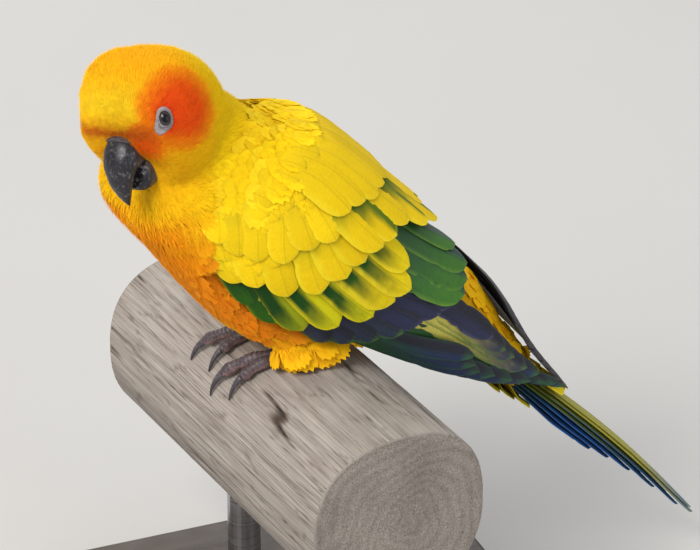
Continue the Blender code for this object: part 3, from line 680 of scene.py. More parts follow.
class Effects:
    """Shader groups that several finishes share."""

    def __init__(self) -> None:
        """Build each group once."""
        self.mottle = self._mottle()
        self.barbs = self._barbs()
        self.dust = self._dust()

    @staticmethod
    def _group(name: str, inputs: dict[str, object], outputs: Sequence[str]) -> tuple:
        """Sheet, input sockets and output sockets of a new shader group.

        Args:
            name: The group's name.
            inputs: Defaults by name, numbers or vectors.
            outputs: Names of the numbers that it gives.

        Returns:
            The sheet on the group's tree, its input values and its result sockets.
        """
        sockets = {word: ("NodeSocketVector" if isinstance(value, tuple) else "NodeSocketFloat", value)
            for word, value in inputs.items()}
        tree, start, end = new_group(name, "ShaderNodeTree", sockets,
            dict.fromkeys(outputs, "NodeSocketFloat"))
        return NodeSheet(tree), start.outputs, end.inputs

    def _mottle(self) -> NodeTree:
        """Soft variation of brightness at one scale, from Low to High."""
        sheet, given, result = self._group("mottle", {"Scale": 300.0, "Low": 0.8, "High": 1.1,
            "Stretch": (1.0, 1.0, 1.0)}, ("Value",))
        drawn = sheet.stretch(sheet.object_place(), given["Stretch"])
        cloud = sheet.noise(drawn, given["Scale"], 4.0, 0.6)
        sheet.join(sheet.span(cloud, (0.3, 0.7), (given["Low"], given["High"])), result["Value"])
        return sheet.tree

    def _barbs(self) -> NodeTree:
        """Fine barbs that leave a feather's shaft at a slant, and the shaft itself."""
        sheet, given, result = self._group("barbs", {"Fineness": 2.2, "Slant": 0.9}, ("Barbs", "Shaft"))
        place = sheet.add("ShaderNodeSeparateXYZ", {0: sheet.map_place()}).outputs
        aside = sheet.sum("ABSOLUTE", place[0])
        along = sheet.sum("SUBTRACT", place[1], sheet.times(aside, given["Slant"]))
        spot = sheet.add("ShaderNodeCombineXYZ", {0: along, 1: sheet.times(aside, 0.12)}).outputs[0]
        rays = sheet.noise(spot, given["Fineness"], 3.0, 0.7)
        sheet.join(sheet.span(rays, (0.32, 0.68), (0.0, 1.0)), result["Barbs"])
        sheet.join(sheet.span(aside, (0.12, 0.34), (1.0, 0.0)), result["Shaft"])
        return sheet.tree

    def _dust(self) -> NodeTree:
        """Pale dust on faces that look up, broken by noise."""
        sheet, given, result = self._group("dust", {"Amount": 0.3, "Scale": 120.0}, ("Mask",))
        normal = sheet.add("ShaderNodeNewGeometry").outputs["Normal"]
        level = sheet.span(sheet.add("ShaderNodeSeparateXYZ", {0: normal}).outputs[2], (0.2, 0.95),
            (0.0, 1.0))
        cloud = sheet.noise(sheet.object_place(), given["Scale"], 5.0)
        mask = sheet.times(level, sheet.span(cloud, (0.35, 0.7), (0.0, 1.0)))
        sheet.join(sheet.sum("MULTIPLY", mask, given["Amount"], clamp=True), result["Mask"])
        return sheet.tree


class MaterialSheet(NodeSheet):
    """Sheet on a new material's tree, with the shader's inputs and the shared effects."""

    def __init__(self, name: str, effects: Effects) -> None:
        """Start a material of a name that may use the shared effects."""
        self.material = bpy.data.materials.new(name)
        self.material.use_nodes = True
        super().__init__(self.material.node_tree)
        self.shader = self.tree.nodes["Principled BSDF"].inputs
        self.effects = effects

    def feed(self, name: str, value: NodeSocket) -> None:
        """Feed one of the shader's inputs."""
        self.join(value, self.shader[name])

    def mottle(self, scale: float, low: float, high: float, stretch: Sequence[float] = (1.0, 1.0,
            1.0)) -> NodeSocket:
        """Soft variation of brightness from low to high."""
        return self.effect(self.effects.mottle, Scale=scale, Low=low, High=high, Stretch=stretch)[0]

    def bump(self, height: NodeSocket, strength: float, distance: float) -> None:
        """Raise the surface by a height between 0 and 1."""
        node = self.add("ShaderNodeBump", {"Height": height, "Strength": strength, "Distance": distance})
        self.feed("Normal", node.outputs[0])


@dataclass(frozen=True)
class Finish:
    """What every finish has: its name and the plain numbers of its shader."""

    name: str
    roughness: float = 0.6
    specular: float = 0.5
    metallic: float = 0.0

    def build(self, effects: Effects) -> Material:
        """Make the material.

        Args:
            effects: The shared shader groups.

        Returns:
            The material.
        """
        sheet = MaterialSheet(self.name, effects)
        sheet.shader["Roughness"].default_value = self.roughness
        sheet.shader["Specular IOR Level"].default_value = self.specular
        sheet.shader["Metallic"].default_value = self.metallic
        self.wire(sheet)
        return sheet.material

    def wire(self, sheet: MaterialSheet) -> None:
        """Feed the shader from the finish's own nodes."""
        raise NotImplementedError


@dataclass(frozen=True)
class MottledFinish(Finish):
    """One colour, painted on the mesh unless it is given, with soft light and shade."""

    colour: Colour | None = None
    scale: float = 900.0
    low: float = 0.92
    high: float = 1.08

    def wire(self, sheet: MaterialSheet) -> None:
        """Feed the colour and its shade."""
        shade = sheet.mottle(self.scale, self.low, self.high)
        sheet.feed("Base Color", sheet.scale(self.colour or sheet.painted(), shade))


@dataclass(frozen=True)
class VaneFinish(Finish):
    """Firm feathers: painted colour, barbs that slant from the shaft, and a darker shaft line."""

    roughness: float = 0.5
    specular: float = 0.35
    contrast: float = 0.5
    fineness: float = 2.2
    shaft: float = 0.75

    def wire(self, sheet: MaterialSheet) -> None:
        """Feed the colour and relief of the barbs."""
        barbs = sheet.effect(sheet.effects.barbs, Fineness=self.fineness, Slant=0.9)
        light = sheet.span(barbs["Barbs"], (0.0, 1.0), (1.0 - self.contrast, 1.0 + self.contrast * 0.4))
        dimmed = sheet.times(light, sheet.span(barbs["Shaft"], (0.0, 1.0), (1.0, self.shaft)))
        sheet.feed("Base Color", sheet.scale(sheet.painted(), dimmed))
        sheet.bump(sheet.sum("ADD", barbs["Barbs"], barbs["Shaft"]), 0.5, 0.00012)


@dataclass(frozen=True)
class HornFinish(Finish):
    """Dark horn with a soft sheen, paler scuffs and fine growth lines."""

    roughness: float = 0.32
    specular: float = 0.42
    pale: Colour = (0.30, 0.27, 0.29)

    def wire(self, sheet: MaterialSheet) -> None:
        """Feed the horn's colour, gloss and growth lines."""
        broad = sheet.mottle(260.0, 0.7, 1.5)
        fine = sheet.mottle(1900.0, 0.0, 1.0, (1.0, 1.0, 0.35))
        scuffs = sheet.span(fine, (0.72, 1.0), (0.0, 0.45))
        sheet.feed("Base Color", sheet.blend(scuffs, sheet.scale(sheet.painted(), broad), self.pale))
        sheet.feed("Roughness", sheet.span(fine, (0.0, 1.0), (self.roughness - 0.08, self.roughness + 0.16)))
        sheet.bump(fine, 0.25, 0.0001)


@dataclass(frozen=True)
class BareSkinFinish(Finish):
    """Dry bare skin with fine pebbles, as on feet, cere and eye rings."""

    roughness: float = 0.62
    specular: float = 0.4
    pebbles: float = 2600.0
    depth: float = 0.5

    def wire(self, sheet: MaterialSheet) -> None:
        """Feed the skin's colour and the creases between its pebbles."""
        cells = sheet.add("ShaderNodeTexVoronoi", {"Vector": sheet.object_place(), "Scale": self.pebbles})
        # The creases between the pebbles are painted darker, as painted shade in them.
        creases = sheet.span(cells.outputs["Distance"], (0.25, 0.75), (1.0, 0.62))
        shade = sheet.times(creases, sheet.mottle(700.0, 0.75, 1.25))
        sheet.feed("Base Color", sheet.scale(sheet.painted(), shade))
        sheet.bump(creases, self.depth, 0.00015)


@dataclass(frozen=True)
class WoodFinish(Finish):
    """Wood with grain along the piece, in two colours."""

    roughness: float = 0.8
    specular: float = 0.25
    light: Colour = (0.52, 0.47, 0.42)
    dark: Colour = (0.26, 0.22, 0.19)
    stretch: tuple[float, float, float] = (1.0, 0.06, 1.0)
    scale: float = 420.0
    dust: float = 0.3
    painted: bool = False

    def wire(self, sheet: MaterialSheet) -> None:
        """Feed the wood's grain, cracks and dust."""
        height = sheet.mottle(self.scale, 0.0, 1.0, self.stretch)
        if self.painted:
            height, cracks = self.fibres(sheet)
        colour = sheet.blend(height, self.dark, self.light)
        if self.painted:
            colour = sheet.blend(1.0, colour, sheet.painted(), "MULTIPLY")
            # The fine cracks are painted near black, as painted shade in them.
            colour = sheet.blend(cracks, (0.05, 0.038, 0.03), colour)
        shaded = sheet.scale(colour, sheet.mottle(self.scale * 0.12, 0.72, 1.18, self.stretch))
        dust = sheet.effect(sheet.effects.dust, Amount=self.dust, Scale=90.0)[0]
        sheet.feed("Base Color", sheet.blend(dust, shaded, (0.5, 0.47, 0.43)))
        sheet.bump(height, 0.45, 0.0003)

    @staticmethod
    def fibres(sheet: NodeSheet) -> tuple[NodeSocket, NodeSocket]:
        """Streaks along the piece's own map, and a mask that is 0 in its fine cracks."""
        place = sheet.map_place()
        broad, fine = (sheet.noise(sheet.stretch(place, stretch), 1.0, detail, 0.62) for stretch,
            detail in (((1.5, 0.035, 1.0), 6.0), ((0.55, 0.008, 1.0), 3.0)))
        apart = sheet.sum("ABSOLUTE", sheet.sum("SUBTRACT", fine, 0.5))
        return sheet.span(broad, (0.3, 0.7), (0.0, 1.0)), sheet.span(apart, (0.002, 0.012), (0.25, 1.0))


@dataclass(frozen=True)
class SteelFinish(Finish):
    """Brushed steel with fine lines round the rod."""

    roughness: float = 0.32
    metallic: float = 1.0
    colour: Colour = (0.55, 0.55, 0.56)

    def wire(self, sheet: MaterialSheet) -> None:
        """Feed the steel's lines."""
        lines = sheet.mottle(900.0, 0.0, 1.0, (0.05, 0.05, 2.0))
        dark = tuple(part * 0.8 for part in self.colour)
        sheet.feed("Base Color", sheet.blend(lines, dark, self.colour))
        sheet.feed("Roughness", sheet.span(lines, (0.0, 1.0), (self.roughness - 0.08, self.roughness + 0.1)))


class Finishes:
    """Every finish of the model, built once."""

    def __init__(self) -> None:
        """Build the shared effects and the materials."""
        shared = Effects()
        # The skin under the down is painted only darker, by its mottle from 0.7 to 0.9, as painted shade
        # under the coat.
        self.skin = MottledFinish("skin_under_down", 0.9, 0.12, low=0.7, high=0.9).build(shared)
        self.down = MottledFinish("soft_down", 0.8, 0.12).build(shared)
        self.coverts = VaneFinish("covert_vanes", 0.7, 0.15, contrast=0.2, fineness=7.0,
            shaft=0.9).build(shared)
        self.flight = VaneFinish("flight_vanes", 0.42, contrast=0.4, fineness=5.0).build(shared)
        self.bill = HornFinish("bill_horn").build(shared)
        self.claw = HornFinish("claw_horn", 0.3).build(shared)
        self.bare = BareSkinFinish("bare_skin").build(shared)
        self.scales = BareSkinFinish("foot_scales", 0.5, pebbles=1500.0, depth=0.6).build(shared)
        self.eye = MottledFinish("wet_eye", 0.05, 0.28, scale=1500.0, low=0.8, high=1.25).build(shared)
        self.rail = WoodFinish("weathered_rail", painted=True).build(shared)
        self.board = WoodFinish("stained_board", 0.45, 0.4, light=(0.075, 0.05, 0.036),
            dark=(0.028, 0.018, 0.013), stretch=(0.06, 1.0, 1.0), scale=260.0, dust=0.05).build(shared)
        self.steel = SteelFinish("brushed_steel").build(shared)
        self.floor = MottledFinish("studio_floor", 0.85, 0.2, colour=(0.62, 0.61, 0.59), scale=3.0, low=0.97,
            high=1.02).build(shared)


class Markings:
    """Where each colour of the plumage lies, for the skin and for every feather that grows from it."""

    # Direction, the radii in degrees where it ends and where it is full, and how deep the red is.
    PATCHES = (((0.44, 0.83, 0.33), 38.0, 24.0, 0.95), ((0.87, 0.46, -0.02), 22.0, 9.0, 0.75))

    def head(self, local: Array) -> Array:
        """Colours by place in the head's own frame.

        Args:
            local: Forward, left and up distances.

        Returns:
            One colour for each point.
        """
        facing = unit(local)
        forward, aside, up = facing[:, 0], np.abs(facing[:, 1]), facing[:, 2]
        warp = NOISE.at(local, 5.0) * 0.10 + NOISE.at(local + 9.0, 1.7) * 0.06
        colour = mix(YELLOW, GOLD, ease(-0.45, 0.40, forward + 0.25 * up + warp) * 0.62)
        colour = mix(colour, GOLD, ease(0.70, 0.98, up + warp) * ease(-0.5, 0.1, forward) * 0.8)
        colour = mix(colour, PALE_YELLOW, 0.7 * np.exp(-((forward - 0.86) ** 2 + (up - 0.5) ** 2) / 0.06))
        colour = mix(colour, ORANGE, 0.45 * ease(0.6, 0.9, forward) * ease(0.05, -0.3, up + warp))
        sideways = np.stack((forward, aside, up), axis=1)
        for middle, end, full, deep in self.PATCHES:
            turn = np.degrees(np.arccos(np.clip(sideways @ unit(np.array(middle)), -1.0, 1.0))) + warp * 26.0
            turn = turn + 17.0 * ease(0.1, -0.4, facing[:, 1])
            colour = mix(colour, ORANGE, ease(end, 0.5 * end + 0.5 * full, turn) * 0.85)
            colour = mix(colour, FIERY, ease(0.7 * end + 0.3 * full, full * 0.65, turn) * deep)
        band = np.exp(-((up - 0.13 + warp * 0.3) / 0.105) ** 2) * ease(0.66, 0.88, forward)
        return mix(colour, RUST, band * 0.95)

    def trunk(self, points: Array) -> Array:
        """Colours by place on neck, body and thighs.

        Args:
            points: Points of the bird.

        Returns:
            One colour for each point.
        """
        q, angle = PLUMAGE.places(points)
        fold = np.abs(angle)
        warp = NOISE.at(points, 9.0) * 9.0 + NOISE.at(points + 5.0, 3.5) * 5.0
        colour = mix(YELLOW, GOLD, ease(70.0, 125.0, fold + warp) * 0.8)
        colour = mix(colour, BREAST, ease(105.0, 140.0, fold + warp) * ease(-84.0, -62.0, q + warp) * 0.85)
        flank = np.exp(-((fold - 137.0) / 26.0) ** 2) * ease(-62.0, -28.0, q + warp)
        colour = mix(colour, RUST, flank * 0.5)
        colour = mix(colour, GOLD, ease(4.0, 22.0, q + warp * 0.6))
        colour = mix(colour, LIME, ease(34.0, 56.0, q + warp * 0.5) * 0.6)
        return mix(colour, (0.94, 0.52, 0.005), ease(21.0, 13.0, points[:, 2] + warp * 0.4) * 0.85)

    def tint(self, points: Array) -> Array:
        """Colours anywhere on the skin."""
        local = HEAD.local(points)
        share = ease(22.0, 30.0, np.linalg.norm(local, axis=1) + NOISE.at(points, 6.0) * 2.0)
        return mix(self.head(local), self.trunk(points), share)


MARKINGS = Markings()


def unwrap(points: Array) -> Array:
    """Places of points on a flat map rolled off the body round its own axis, each between 0 and 1."""
    q, r = body_place(points)
    middle = (PLUMAGE.table.value(q, 1) + PLUMAGE.table.value(q, 2)) / 2
    turn = np.arctan2(-points[:, 1], r - middle)
    radius, crown, length = 22.0, -84.0, 200.0
    over = np.arcsin(np.clip((crown - q) / radius, -1.0, 1.0)) * radius
    along = np.where(q < crown, crown - over, q)
    return np.stack((turn / (TURN) + 0.5, np.clip((along + 120.0) / length, 0.0, 1.0)), axis=1)


@dataclass(frozen=True)
class EyeRing:
    """Bare ring round an eye, drawn out to a point towards the bill, with dark lid edges."""

    inner: float = 1.95
    outer: float = 3.1
    oval: float = 0.78
    point_reach: float = 2.2
    point_turn: float = radians(222.0)
    point_spread: float = radians(32.0)
    steps: int = 96

    def axes(self, side: Side) -> Array:
        """Rows of the ring's backward, upward and outward directions in the head's frame."""
        left = -side.value
        out = unit(np.array(EYE_DIRECTIONS[side]))
        back = unit(np.cross(vec(0.0, 0.0, 1.0), out)) * left
        return np.stack((back, unit(np.cross(out, back)) * left, out))

    def outline(self, turn: Array) -> Array:
        """Outer radius by direction round the eye, with 0 backward and a quarter turn up."""
        apart = np.abs((turn - self.point_turn + pi) % (TURN) - pi)
        plain = self.outer * (1.0 + 0.05 * np.cos(2 * turn + pi))
        return plain + self.point_reach * np.exp(-(apart / self.point_spread) ** 2)

    def share(self, local: Array, side: Side) -> Array:
        """Distance of points of the head from the eye's middle, with 1 at the ring's outline.

        Args:
            local: Places in the head's frame.
            side: Which eye.

        Returns:
            One number for each point, large on the head's other side.
        """
        axes = self.axes(side)
        flat = local @ axes.T
        x, y = flat[:, 0] / self.oval, flat[:, 1]
        distance = np.hypot(x, y) / self.outline(np.arctan2(y, x))
        return np.where(flat[:, 2] > 0.0, distance, 9.0)

    def build(self, side: Side, finishes: Finishes) -> None:
        """Make one ring, from the lid's edge against the eyeball out to the plumage."""
        axes = self.axes(side)
        turn = circle(self.steps)
        outline = self.outline(turn)
        pale, shade, dark = vec(0.36, 0.32, 0.33), vec(0.15, 0.125, 0.14), vec(0.02, 0.016, 0.02)
        rows, colours = [], []
        for share, rise, tone in ((-0.22, -0.6, dark), (-0.02, 0.02, dark), (0.05, 0.24, shade),
                (0.16, 0.36, pale), (0.30, 0.22, shade), (0.44, 0.32, pale), (0.62, 0.10, pale),
                (0.82, 0.0, pale), (1.0, -0.35, pale), (1.08, -1.0, shade)):
            radius = self.inner + (outline - self.inner) * share
            x, y = radius * self.oval * np.cos(turn), radius * np.sin(turn)
            direction = unit(x[:, None] * axes[0] + y[:, None] * axes[1] + 20.5 * axes[2])
            rim = np.sqrt(np.maximum(EYE_RADIUS ** 2 - radius * radius, 0.5)) + EYE_DEPTH
            skin = HEAD.surface(direction, -0.9) * (direction @ axes[2])
            depth = mix(rim[:, None], skin[:, None], np.full(self.steps, min(max(share, 0.0) * 1.1, 1.0)))[:,
                0]
            wrinkle = 0.09 * np.sin(turn * 31 + share * 9) * (0.1 < share < 0.95)
            local = x[:, None] * axes[0] + y[:, None] * axes[1] + (depth + rise + wrinkle)[:, None] * axes[2]
            rows.append(HEAD.point(local))
            colours.append(np.tile(tone, (self.steps, 1)))
        bottom = [HEAD.point(HEAD.local(rows[k]) - 0.8 * axes[2]) for k in (8, 4, 1)]
        rings = np.stack(rows + bottom)
        tones = np.concatenate(colours + [np.tile(shade, (self.steps, 1))] * len(bottom))
        faces = grid_faces(len(rings), self.steps, closed=True)
        last = (len(rings) - 1) * self.steps
        for j in range(self.steps):
            k = (j + 1) % self.steps
            faces.append([last + j, last + k, k, j])
        if side is Side.LEFT:
            faces = flip(faces)
        shape = Shape(rings.reshape(-1, 3), faces, tones)
        Fitting(f"eye_ring_{side.word}", "foot_skin").make(shape, finishes.bare)


RING = EyeRing()


@dataclass(frozen=True)
class Eye:
    """One eyeball with a dark iris, a black pupil and a swollen cornea."""

    pupil: float = 1.25
    iris: float = 1.8
    swell: float = 0.12

    def build(self, side: Side, finishes: Finishes) -> None:
        """Make one eyeball with its rings of colour."""
        axes = RING.axes(side)
        tilt, turn = ball_angles(60, 64)
        reach = EYE_RADIUS + self.swell * np.exp(-(tilt / 0.5) ** 2)
        flat = stack(reach * np.sin(tilt) * np.cos(turn) * RING.oval, reach * np.sin(tilt) * np.sin(turn),
            reach * np.cos(tilt) + EYE_DEPTH)
        points, faces = close_rings(HEAD.point(flat @ axes))
        radius = np.append(np.hypot(flat[..., 0] / RING.oval, flat[..., 1]).ravel(), (0.0, EYE_RADIUS))
        front = np.append((flat[..., 2] > EYE_DEPTH).ravel(), (True, False))
        colour = mix((0.004, 0.004, 0.006), (0.035, 0.024, 0.022),
            ease(self.pupil - 0.1, self.pupil + 0.1, radius))
        rings = 0.5 + 0.5 * np.sin((radius - self.pupil) * 9.0)
        colour = mix(colour, (0.085, 0.068, 0.07), rings * ease(self.pupil, self.pupil + 0.3, radius) * 0.5)
        colour = mix(colour, (0.012, 0.01, 0.012), ease(self.iris - 0.25, self.iris + 0.1, radius))
        colour = mix((0.02, 0.015, 0.015), colour, front.astype(float))
        if side is Side.RIGHT:
            faces = flip(faces)
        name = f"eye_{side.word}"
        stand_in(name, "ball", "eye_dark", Shape(points, faces, colour), finishes.eye)


@dataclass(frozen=True)
class BodySkin:
    """One skin over head, neck, trunk and thighs, under the coat, without a seam."""

    trunk_depth: float = 1.7
    head_depth: float = 1.5
    voxel: float = 0.8
    trunk_span: Place = (-88.0, 61.0)
    thigh_place: tuple[float, float, float] = (7.0, 14.5, 8.2)
    thigh_radii: tuple[float, float, float] = (10.4, 5.0, 3.4)

    def trunk(self) -> tuple[Array, list]:
        """Neck and body, with the folded wings' bed in their sides."""
        q, angle = np.meshgrid(np.linspace(*self.trunk_span, 120), np.arange(0.0, 360.0, 3.0), indexing="ij")
        fold = np.abs((angle + 180.0) % 360.0 - 180.0)
        hollow = 5.0 * np.exp(-((q + 76.0) / 6.5) ** 2 - ((angle - 158.0) / 27.0) ** 2)
        swell = 3.4 * np.exp(-((q + 70.0) / 9.0) ** 2 - ((angle - 203.0) / 21.0) ** 2)
        breast = 1.5 * ease(120.0, 150.0, fold) * ease(-72.0, -60.0, q) * ease(-5.0, -25.0, q)
        front = np.interp(q, (-67.0, -60.0, -52.0, -45.0), (86.0, 99.0, 117.0, 150.0))
        bed = WING_BED.value(fold, 1) * WING_BED_ALONG.value(q, 1) * ease(front + 6.0, front - 8.0, fold)
        depth = self.trunk_depth + bed + hollow - swell - breast
        return close_rings(PLUMAGE.point(q, angle, -depth))

    def head(self) -> tuple[Array, list]:
        """The head's ball, drawn in round the bill and a little round the eyes."""
        tilt, turn = ball_angles(64, 96)
        facing = stack(np.sin(tilt) * np.cos(turn), np.sin(tilt) * np.sin(turn), np.cos(tilt))
        reach = HEAD.surface(facing, -self.head_depth)
        sideways = stack(facing[..., 0], np.abs(facing[..., 1]), facing[..., 2])
        gape = np.arccos(np.clip(sideways @ unit(vec(0.78, 0.36, -0.50)), -1.0, 1.0))
        reach = reach - 2.2 * np.exp(-(gape / 0.28) ** 2)
        for side in Side:
            near = RING.share((facing * 20.0).reshape(-1, 3), side).reshape(reach.shape)
            reach = reach + 0.5 * ease(2.0, 1.2, near) - 0.9 * ease(1.0, 0.85, near)
        return close_rings(HEAD.point(facing * reach[..., None]))

    def thigh(self, side: Side) -> tuple[Array, list]:
        """Low soft swelling over one foot."""
        tilt, turn = ball_angles(20, 32)
        ball = stack(np.cos(tilt), np.sin(tilt) * np.cos(turn), np.sin(tilt) * np.sin(turn))
        centre = np.array(self.thigh_place) * vec(1.0, side.value, 1.0)
        return close_rings(centre + ball * np.array(self.thigh_radii))

    def build(self, finishes: Finishes) -> Object:
        """Fuse the forms to one skin, smooth it and paint it, a little darker than the plumage as painted
        shade.

        Args:
            finishes: The model's materials.

        Returns:
            The skin, ready for the coat to grow on.
        """
        forms = [self.trunk(), self.head(), self.thigh(Side.LEFT), self.thigh(Side.RIGHT)]
        rough = Shape.joined([Shape(points, faces) for points, faces in forms])
        item = new_object("bird_skin", new_mesh("rough_skin", rough.points, rough.faces))
        fuse = item.modifiers.new("fuse", "REMESH")
        fuse.mode = "VOXEL"
        fuse.voxel_size = self.voxel * MM
        soften = item.modifiers.new("soften", "SMOOTH")
        soften.iterations = 5
        plain_mesh(item)
        points = mesh_places(item.data)
        # The skin takes the plumage's colours at nine tenths, darker as painted shade between the tufts.
        write_points(item.data, "tint", MARKINGS.tint(points) * 0.9, "FLOAT_COLOR")
        write_uv(item.data, "OFBake", unwrap(points))
        item.data.shade_smooth()
        item.data.materials.append(finishes.skin)
        fitting = Fitting("bird_skin", "plumage_orange", ("head", "neck", "torso", "thigh_left",
            "thigh_right"))
        return fitting.fit(item)


def plain_mesh(item: Object) -> None:
    """Give an object the mesh that its modifiers make, and take the modifiers away."""
    graph = bpy.context.evaluated_depsgraph_get()
    result = bpy.data.meshes.new_from_object(item.evaluated_get(graph), preserve_all_data_layers=True,
        depsgraph=graph)
    old = item.data
    item.modifiers.clear()
    item.data = result
    result.name = item.name
    bpy.data.meshes.remove(old)


@dataclass(frozen=True)
class Lock:
    """Template of one small tuft of unit length that lies along X: fine closed barbs side by side."""

    barbs: int = 6
    width: float = 0.09
    fan: float = 24.0
    spread: float = 0.3
    rise: float = 0.05
    stops: tuple[float, ...] = (0.0,)

    def mesh(self, name: str, draw: Draw) -> Mesh:
        """Tuft of barbs, each a low three-sided blade that ends in a point.

        Args:
            name: Mesh name.
            draw: Source of the variation.

        Returns:
            The mesh, with its places on the tuft as the attribute spot.
        """
        points, faces, spots = [], [], []
        for k in range(self.barbs):
            place = (k + 0.5) / self.barbs * 2.0 - 1.0
            turn = radians(self.fan) * place + draw.uniform(-0.1, 0.1)
            length = draw.uniform(0.72, 1.05) * (1.0 - 0.25 * abs(place))
            heading = vec(cos(turn), sin(turn), 0.0)
            aside = vec(-sin(turn), cos(turn), 0.0)
            start = aside * place * self.spread / 2 + heading * draw.uniform(-0.15, 0.1)
            first = len(points)
            for share in self.stops:
                spine = start + heading * share * length
                spine[2] = self.rise * sin(share * 2.6) + 0.02 * (k % 3)
                half = self.width * (1.0 - 0.35 * share) / 2
                points += [spine - aside * half, spine + aside * half, spine + vec(0.0, 0.0, half * 0.3)]
                spots += [(share, place, k)] * 3
            tip = start + heading * length
            tip[2] = self.rise * sin(2.6) + 0.02 * (k % 3)
            points.append(tip)
            spots.append((1.0, place, k))
            faces.append((first, first + 2, first + 1))
            for step in range(len(self.stops) - 1):
                a, b = first + 3 * step, first + 3 * step + 3
                faces += [(a, b, b + 2, a + 2), (a + 2, b + 2, b + 1, a + 1), (a + 1, b + 1, b, a)]
            last, end = first + 3 * (len(self.stops) - 1), len(points) - 1
            faces += [(last, end, last + 2), (last + 2, end, last + 1), (last + 1, end, last)]
        return finish_template(name, points, faces, spots)


@dataclass(frozen=True)
class ContourFeather:
    """Template of one body feather of unit length: a thin shell that ends in loose teeth."""

    half: float = 0.42
    thick: float = 0.02
    rise: float = 0.06
    droop: float = 0.06

    def mesh(self, name: str, draw: Draw) -> Mesh:
        """Closed feather with a toothed tip.

        Args:
            name: Mesh name.
            draw: Source of the variation.

        Returns:
            The mesh, with its places on the feather as the attribute spot.
        """
        rows = []
        for share, wide, columns in ((0.0, 0.35, 3), (0.45, 1.0, 5), (0.82, 1.05, 9)):
            row = []
            for v in np.linspace(-1.0, 1.0, columns):
                reach = share - 0.30 * share * v * v
                if columns == 9:
                    long = int(round((v + 1) * 4)) % 2 == 0
                    reach += 0.11 + draw.uniform(-0.04, 0.04) if long else draw.uniform(-0.03, 0.04)
                height = self.rise * sin(share * 2.4) - self.droop * v * v * wide
                row.append((reach, v * self.half * wide, height))
            rows.append(row)
        top = [point for row in rows for point in row]
        spots = [(k[0], k[1] / self.half, 0.0) for k in top]
        count = len(top)
        points = top + [(x, y, z - self.thick) for x, y, z in top]
        faces, start = [], 0
        for narrow in (3, 5):
            after = start + narrow
            for i in range(narrow - 1):
                a, b = start + i, after + 2 * i
                for face in ((a, b, b + 1), (a, b + 1, a + 1), (a + 1, b + 1, b + 2)):
                    faces.append(face)
                    faces.append(tuple(k + count for k in face[::-1]))
            start = after
        rim = [0, 3, 8] + list(range(9, 17)) + [7, 2, 1]
        for a, b in zip(rim, rim[1:] + rim[:1]):
            faces.append((a, a + count, b + count, b))
        return finish_template(name, points, faces, spots + spots)


def finish_template(name: str, points: Sequence, faces: Sequence, spots: Sequence) -> Mesh:
    """Mesh of one template with the attribute spot."""
    mesh = bpy.data.meshes.new(name)
    mesh.from_pydata([tuple(float(k) for k in point) for point in points], [], faces)
    write_points(mesh, "spot", np.array(spots, dtype=float), "FLOAT_VECTOR")
    return mesh


